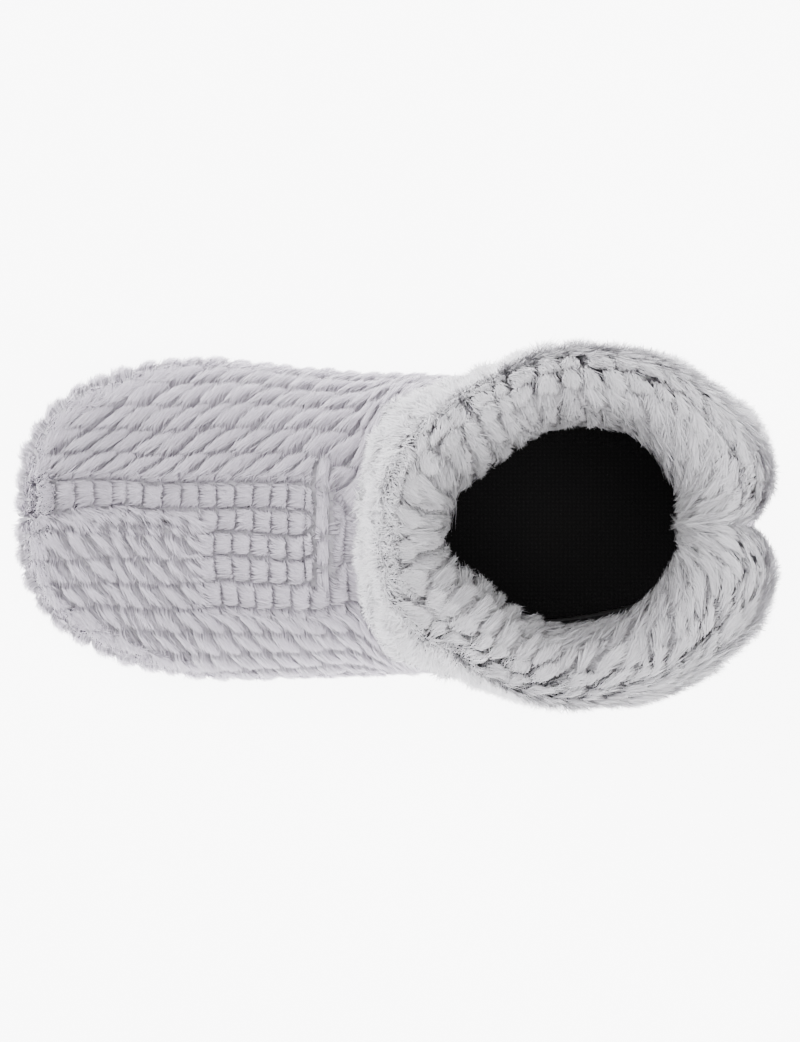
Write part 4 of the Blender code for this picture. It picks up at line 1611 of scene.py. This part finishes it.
    def prepare(self) -> None:
        """Lays the outer face of the pile and the skin under it, as stations by places from hem to inside."""
        rim, _ = self.loop(0.0)
        count = len(rim)
        out = self.outward(rim)
        around = np.linspace(0, 1, count)
        run = running_length(rim)
        corner = np.clip(1 - np.minimum(run, run[-1] - run) / self.corner, 0, 1)
        rounding = np.sqrt(np.maximum(1 - corner**2, 0.0))
        thick = self.thickness * Curve(self.around, 2)(around) * (0.45 + 0.55 * rounding)
        inside = self.inside * Curve(self.around, 1)(around)
        hem = 0.72 + 0.28 * rounding
        steps = 13
        loops = [self.loop(float(level)) for level in np.linspace(0, self.below_hem, steps + 1)]
        places = np.stack([points for points, _ in loops])
        lifts = np.stack([normals for _, normals in loops])
        k = np.arange(count)

        def on_leg(share: float, offset: Array) -> Array:
            """Finds one point a station on the hanging leg.

            Args:
                share: Share of the way from rim to hem.
                offset: Distance from the shaft.

            Returns:
                The points.
            """
            where = np.clip(share * hem, 0, self.below_hem) / self.below_hem * steps
            low = np.minimum(where.astype(int), steps - 1)
            part = (where - low)[:, None]
            place = places[low, k] * (1 - part) + places[low + 1, k] * part
            lift = unit(lifts[low, k] * (1 - part) + lifts[low + 1, k] * part)
            return place + lift * np.broadcast_to(offset, count)[:, None]

        def face(leg_share: float, fold_share: float) -> Array:
            """Lays a face from hem to inside.

            Args:
                leg_share: Share of the pile's thickness on the leg.
                fold_share: Share of the pile's height over the fold.

            Returns:
                Points by station and place.
            """
            rows = []
            for share, distance in self.leg:
                hung = min(share, 1.0) + max(share - 1.0, 0.0) * leg_share
                rows.append(on_leg(hung, self.clear + thick * distance * leg_share))
            for outward, upward in self.fold:
                reach = thick * leg_share if outward > 0 else self.wall + self.clear + inside * fold_share
                rise = self.top * fold_share + 0.002 if upward > 0 else self.inside_depth
                rows.append(rim + out * (outward * reach)[:, None] + UP * (upward * rise))
            fine = []
            for line in np.stack(rows, axis=1):
                knots = running_length(line)
                curves = [Curve(tuple(zip(knots / knots[-1], line[:, n]))) for n in range(3)]
                axes = [curve(np.linspace(0, 1, 64)) for curve in curves]
                fine.append(np.stack(axes, axis=1))
            return np.array(fine)

        outer, ground = face(1.0, 1.0), face(self.skin_share, self.skin_share + 0.1)
        self.outer = Sheet(outer, self.normals_of(outer))
        self.ground = Sheet(ground, self.normals_of(ground))

    @staticmethod
    def normals_of(grid: Array) -> Array:
        """Finds outward normals of an open grid.

        Args:
            grid: Stations by places.

        Returns:
            Unit normals.
        """
        normal = unit(np.cross(np.gradient(grid, axis=0), np.gradient(grid, axis=1)))
        middle = grid.mean(axis=1, keepdims=True)
        return normal * (1 if (normal * (grid - middle)).sum() > 0 else -1)

    def shell(self, ground: bpy.types.Material) -> bpy.types.Object:
        """Makes the cuff's skin, closed over the shaft and at the two ends of the split.

        Args:
            ground: Material of the ground.

        Returns:
            The piece that stands for the cuff.
        """
        assert self.ground is not None
        grid = self.last.to_frame(self.ground.points)
        rim = self.last.to_frame(self.loop(0.0)[0])
        out = self.outward(rim)
        rows = [grid[:, -1]]
        for outward, z in ((-self.wall - self.clear, self.clear), (self.clear, self.clear)):
            rows.append(rim + out * outward + UP * z)
        rows.append(grid[:, 0])
        back = np.stack(rows, axis=1)
        ends = []
        for k in (0, -1):
            ring = np.concatenate([grid[k], back[k][1:-1]])
            middle = np.repeat(ring.mean(0)[None], len(ring) + 1, axis=0)
            ends.append((np.concatenate([ring, ring[:1]]), middle, 0))
        made = grid_piece("cuff_shell", [(grid, False, 0), (back, False, 0)], ends, [ground])
        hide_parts("cuff")
        return carry(made)

    def steps(self, u: Array, v: Array) -> tuple[Array, Array]:
        """Measures one station and one place on the outer face.

        Args:
            u: Places along the stations.
            v: Places from hem to inside.

        Returns:
            The steps towards the next station and towards the inside.
        """
        assert self.outer is not None
        read = self.outer.sample
        return read(u + 0.5, v)[0] - read(u - 0.5, v)[0], read(u, v + 0.5)[0] - read(u, v - 0.5)[0]

    def tufts(self, u: Array, v: Array, rng: np.random.Generator) -> tuple[Spots, Array, Array]:
        """Sorts roots into locks that run over the fold, with a soft roll of loose fluff at the front.

        Args:
            u: Places along the stations.
            v: Places from hem to inside.
            rng: Source of the random numbers.

        Returns:
            The spots, which of them grow, and how far each stands out in the fluff's lumps.
        """
        assert self.outer is not None
        outer = self.outer
        stations, places = outer.points.shape[:2]
        w, t = u / (stations - 1), v / (places - 1)
        medial = w < 0.5
        face, normals = outer.sample(u, v)
        step_u, step_v = self.steps(u, v)
        to_inside = unit(step_v)
        to_heel = unit(step_u) * np.where(medial, -1.0, 1.0)[:, None]
        lengths = np.linalg.norm(np.diff(outer.points, axis=1), axis=2).sum(1)
        length = np.interp(u, np.arange(stations), lengths)
        across = ((t - self.nap_end) * length + 0.0016 * ripple(face, 0.018, 8)) / self.row_pitch
        row = np.floor(across)
        # the nap parts along a wandering line: outwards below it and over the fold above it
        front = bell(w, 0.54, 0.16)
        parting = 0.29 + 0.07 * front + 0.030 * ripple(face, 0.017, 91)
        upward = np.where(t + 0.12 * (rng.random(len(u)) - 0.5) < parting, -1.0, 1.0)
        p = np.where(upward > 0, across - row, 1 - (across - row))
        # lean of the locks towards the heel, in degrees
        medial_lean = 16.0 - 34.0 * bell(w, 0.42, 0.10) + 28.0 * bell(w, 0.11, 0.08)
        lateral_lean = 28.0 - 22.0 * bell(w, 0.60, 0.09) + 22.0 * bell(w, 0.87, 0.09)
        lean = np.where(medial, medial_lean, lateral_lean)
        slant = np.radians(lean) * np.tanh((w - 0.53) / 0.06) * np.where(w < 0.53, -1, 1)
        slant = slant + np.radians(10.0) * ripple(face, 0.04, 12)
        crest = float(np.median(np.argmax(outer.points[:, :, 2], axis=1))) / (places - 1)
        middle = outer.points[:, int(crest * (places - 1))]
        way = np.interp(u, np.arange(stations), running_length(middle)) * np.where(medial, -1.0, 1.0)
        stagger = 0.13 * row + 0.22 * ripple(face, 0.02, 52)
        place = (way - (p - 0.5) * self.row_pitch * np.tan(slant)) / self.lock_pitch + stagger
        cell = np.floor(place)
        q = place - cell - 0.5
        tuft = hashed(cell, row, medial.astype(float), seed=53)
        ahead, beside = turned(to_inside * upward[:, None], to_heel, slant)
        luck = rng.random(len(u))
        fuzz = ease((0.34 + 0.11 * front + 0.025 * ripple(face, 0.014, 92) - t) / 0.08)
        calm = 0.55 * bell(w, 0.10, 0.13) + 0.65 * bell(w, 1.0, 0.045)
        at_root = 0.25 + 0.75 * (0.5 + 0.5 * np.cos(2 * np.pi * (p - 0.15)))
        slit = (0.13 + 0.12 * tuft) * (1 - fuzz) * (1 - calm) * at_root
        sunk = (np.abs(q) > 0.5 - slit) & (luck < 0.96)
        split_end = (np.minimum(w, 1 - w) < 0.016) & (t > 0.80)
        grows = ~(sunk & (rng.random(len(u)) < 0.30)) & ~split_end
        lumps = ripple(face, 0.013, 93) * fuzz
        roll = bell(w, 0.54, 0.13) * ease((0.47 - t) / 0.12)
        below = ease((0.40 + 0.05 * front - t) / 0.06)
        # painted shade darkens the blades sunk in the slits between locks
        tone = 0.06 * ripple(face, 0.04, 29) + 0.02 * roll - 0.13 * sunk + 0.02 * below
        # painted light on the fluff's raised lumps and painted shade in their dips, and paler along the
        # parting, which lifts the painted root shade where the blades part
        tone = tone + 0.09 * lumps + 0.10 * fuzz * bell(t, parting, 0.05)
        # painted shade on the lateral lobe's end, under the medial lobe that overlaps it at the split
        tone = tone + 0.08 * calm - 0.20 * bell(w, 1.0, 0.022)
        # painted shade between the locks that hang over the mouth at the front, darker towards each lock's
        # edges
        tone = tone - 0.30 * ((2 * q) ** 2 - 0.15) * ease((t - 0.42) / 0.10) * bell(w, 0.48, 0.17)
        ones = np.ones(len(u))
        span, width = ones * self.row_pitch, ones * self.lock_pitch
        loose = np.maximum(fuzz, 0.5 * calm)
        stand = ones - 0.30 * sunk
        return Spots(face, normals, ahead, beside, p, q, span, width, tuft, tone, loose, stand), grows, lumps

    def grow(self, rng: np.random.Generator) -> tuple[Blades, Array]:
        """Grows the blades of the cuff, whose nap runs over the fold to the inside.

        Args:
            rng: Source of the random numbers.

        Returns:
            The blades, and the place round the cuff of each from 0 to 1.
        """
        assert self.outer is not None and self.ground is not None
        outer, coat = self.outer, self.coat
        stations, places = outer.points.shape[:2]
        u, v = outer.scatter(self.per_mm2, rng)
        t = v / (places - 1)
        seen = (t < self.nap_end) & (rng.random(len(u)) < np.where(t < 0.30, 0.72, 1.0))
        u, v = u[seen], v[seen]
        spots, grows, lumps = self.tufts(u, v, rng)
        spots, u, v, lumps = spots.only(grows), u[grows], v[grows], lumps[grows]
        w, t = u / (stations - 1), v / (places - 1)
        step_u, step_v = self.steps(u, v)
        long_u, long_v = np.linalg.norm(step_u, axis=1), np.linalg.norm(step_v, axis=1)
        way_u, way_v = unit(step_u), unit(step_v)
        # where each tip comes to lie on the curved face
        reach, height, turn, end = coat.growth(spots, rng)
        lie, _ = turned(spots.ahead, spots.beside, turn)
        gather = spots.q * self.lock_pitch * coat.clump * (1 - spots.fuzz)
        move = lie * reach[:, None] - spots.beside * gather[:, None]
        cross = (way_u * way_v).sum(1)
        along_u, along_v = (move * way_u).sum(1), (move * way_v).sum(1)
        still = 1 - cross**2
        new_u = u + (along_u - cross * along_v) / still / long_u
        new_v = v + (along_v - cross * along_u) / still / long_v
        tips, tip_normals = outer.sample(new_u, new_v)
        beyond_u = (new_u - np.clip(new_u, 0, stations - 1)) * long_u
        beyond_v = (new_v - np.clip(new_v, 0, places - 1)) * long_v
        tips = tips + way_u * beyond_u[:, None] + way_v * np.clip(beyond_v, -0.002, 0.004)[:, None]
        # how far each tip stands off the face: lumps outside, and points of locks at the mouth's edge
        relief = (height - 0.86) * coat.pile + 0.0010 * (rng.random(len(u)) - 0.5)
        relief = relief + 0.0014 * lumps + 0.0016 * spots.fuzz * (rng.random(len(u)) - 0.5)
        near_tip = bell(w, 0.50, 0.07)
        point = (1 - (2 * spots.q) ** 2) * np.clip(end - 0.4, 0, 1)
        retreat = 0.0036 + 0.0010 * near_tip + 0.0011 * bell(w, 0.27, 0.12)
        inside = ease((t - 0.50) / 0.10)
        relief = relief + inside * (0.0048 * point * (1 - 0.4 * near_tip) - retreat - 0.0004)
        tips = tips + tip_normals * relief[:, None]
        roots, _ = self.ground.sample(u, v)
        knees, knee_normals = outer.sample(u + 0.38 * (new_u - u), v + 0.38 * (new_v - v))
        bends = roots * 0.25 + knees * 0.75 + knee_normals * (relief * 0.5)[:, None]
        return coat.shaped(spots, (roots, bends, tips), tip_normals, lie, end, rng, self.last), w

    def dress(self, fur: bpy.types.Material) -> list[bpy.types.Object]:
        """Grows the cuff's fur, in a medial and a lateral piece.

        Args:
            fur: The fur's material.

        Returns:
            The pieces.
        """
        blades, w = self.grow(np.random.default_rng(81))
        return [
            carry(blades.only(w < 0.5).piece("cuff_fur_medial", fur)),
            carry(blades.only(w >= 0.5).piece("cuff_fur_lateral", fur)),
        ]


@dataclass
class Sole:
    """The carried-over outsole and insole and their finishes."""

    rubber: RubberFinish = RubberFinish("black_rubber")

    def dress(self, knit: bpy.types.Material) -> list[bpy.types.Object]:
        """Gives the rubber to the outsole and the lining's knit to the insole."""
        return [give("outsole", self.rubber.material()), give("insole", knit)]


@dataclass
class Studio:
    """Pale floor, soft lights and the camera straight above the shoe."""

    floor_size: float = 12.0
    height: float = 1.3
    centre_x: float = 0.0032
    over_y: float = 0.036
    frame_width: float = 0.2826
    frame_level: float = 0.020
    floor_colour: tuple[float, float, float] = (0.95, 0.95, 0.95)
    floor_glow: float = 7.0
    floor_height: float = -0.0003

    def floor(self) -> bpy.types.Object:
        """Lays the floor.

        Returns:
            The floor.
        """
        half = self.floor_size / 2
        mesh = bpy.data.meshes.new("studio_floor")
        low = self.floor_height
        corners = [(-half, -half, low), (half, -half, low), (half, half, low), (-half, half, low)]
        mesh.from_pydata(corners, [], [(0, 1, 2, 3)])
        paper = bpy.data.materials.new("studio_paper")
        paper.use_nodes = True
        shader = paper.node_tree.nodes["Principled BSDF"]
        shader.inputs["Base Color"].default_value = (*self.floor_colour, 1.0)
        shader.inputs["Roughness"].default_value = 0.9
        shader.inputs["Emission Color"].default_value = (1.0, 1.0, 1.0, 1.0)
        shader.inputs["Emission Strength"].default_value = self.floor_glow
        mesh.materials.append(paper)
        made = bpy.data.objects.new("studio_floor", mesh)
        bpy.context.scene.collection.objects.link(made)
        return made

    def light(self, name: str, place: tuple[float, float, float], size: float, power: float) -> None:
        """Hangs one soft light that looks at the shoe.

        Args:
            name: Name of the light.
            place: Its position.
            size: Side of its square in metres.
            power: Its power in watts.
        """
        data = bpy.data.lights.new(name, "AREA")
        data.shape = "SQUARE"
        data.size = size
        data.energy = power
        made = bpy.data.objects.new(name, data)
        made.location = place
        aim = Vector((0.0, 0.0, 0.04)) - Vector(place)
        made.rotation_euler = aim.to_track_quat("-Z", "Y").to_euler()
        bpy.context.scene.collection.objects.link(made)

    def camera(self) -> None:
        """Sets the camera above the shoe, turned a little to look at its middle."""
        data = bpy.data.cameras.new("camera")
        data.sensor_fit = "HORIZONTAL"
        data.sensor_width = 36.0
        data.lens = 36.0 * (self.height - self.frame_level) / self.frame_width
        made = bpy.data.objects.new("camera", data)
        place = Vector((self.centre_x, self.over_y, self.height))
        made.location = place
        tilt = math.atan2(self.over_y, self.height - self.frame_level)
        made.rotation_euler = (-tilt, 0.0, 0.0)
        bpy.context.scene.collection.objects.link(made)
        bpy.context.scene.camera = made

    def build(self) -> None:
        """Sets up floor, lights, air and camera."""
        self.floor()
        self.light("key_light", (-0.9, 0.9, 1.5), 1.2, 34.0)
        self.light("fill_light", (1.0, -0.8, 1.3), 1.4, 22.0)
        self.light("top_light", (0.1, 0.0, 2.2), 1.6, 40.0)
        world = bpy.data.worlds.new("studio_air")
        world.use_nodes = True
        air = world.node_tree.nodes["Background"]
        air.inputs["Color"].default_value = (1.0, 1.0, 1.0, 1.0)
        air.inputs["Strength"].default_value = 0.65
        bpy.context.scene.world = world
        self.camera()


def main() -> None:
    """Builds and dresses the slipper, piece by piece."""
    logging.basicConfig(level=logging.INFO, format="%(name)s: %(message)s")
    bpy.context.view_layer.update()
    fur = FurFinish(
        name="grey_fur", root=(0.385, 0.35, 0.415), middle=(0.60, 0.555, 0.635), tip=(0.75, 0.70, 0.79)
    ).material()
    cuff_fur = FurFinish(
        name="cuff_fur", root=(0.36, 0.345, 0.375), middle=(0.60, 0.585, 0.62), tip=(0.79, 0.775, 0.805)
    ).material()
    ground = BackingFinish("fur_ground", dark=(0.31, 0.295, 0.325), light=(0.42, 0.40, 0.44)).material()
    cuff_ground = BackingFinish("cuff_ground", dark=(0.46, 0.445, 0.47), light=(0.56, 0.545, 0.57)).material()
    knit = KnitFinish("black_knit").material()
    foot = FootFur(Last())
    foot.prepare()
    pieces = [foot.shell(ground, knit), *foot.dress(fur)]
    band = BandFur(foot)
    pieces += [band.shell(ground), *band.dress(fur)]
    cuff = Cuff(Last())
    cuff.prepare()
    pieces += [cuff.shell(cuff_ground), *cuff.dress(cuff_fur)]
    pieces += Sole().dress(knit)
    for piece in pieces:
        triangles = sum(len(face.vertices) - 2 for face in piece.data.polygons)
        LOG.info("%s: %d triangles", piece.name, triangles)
    Studio().build()


if __name__ == "__main__":
    main()
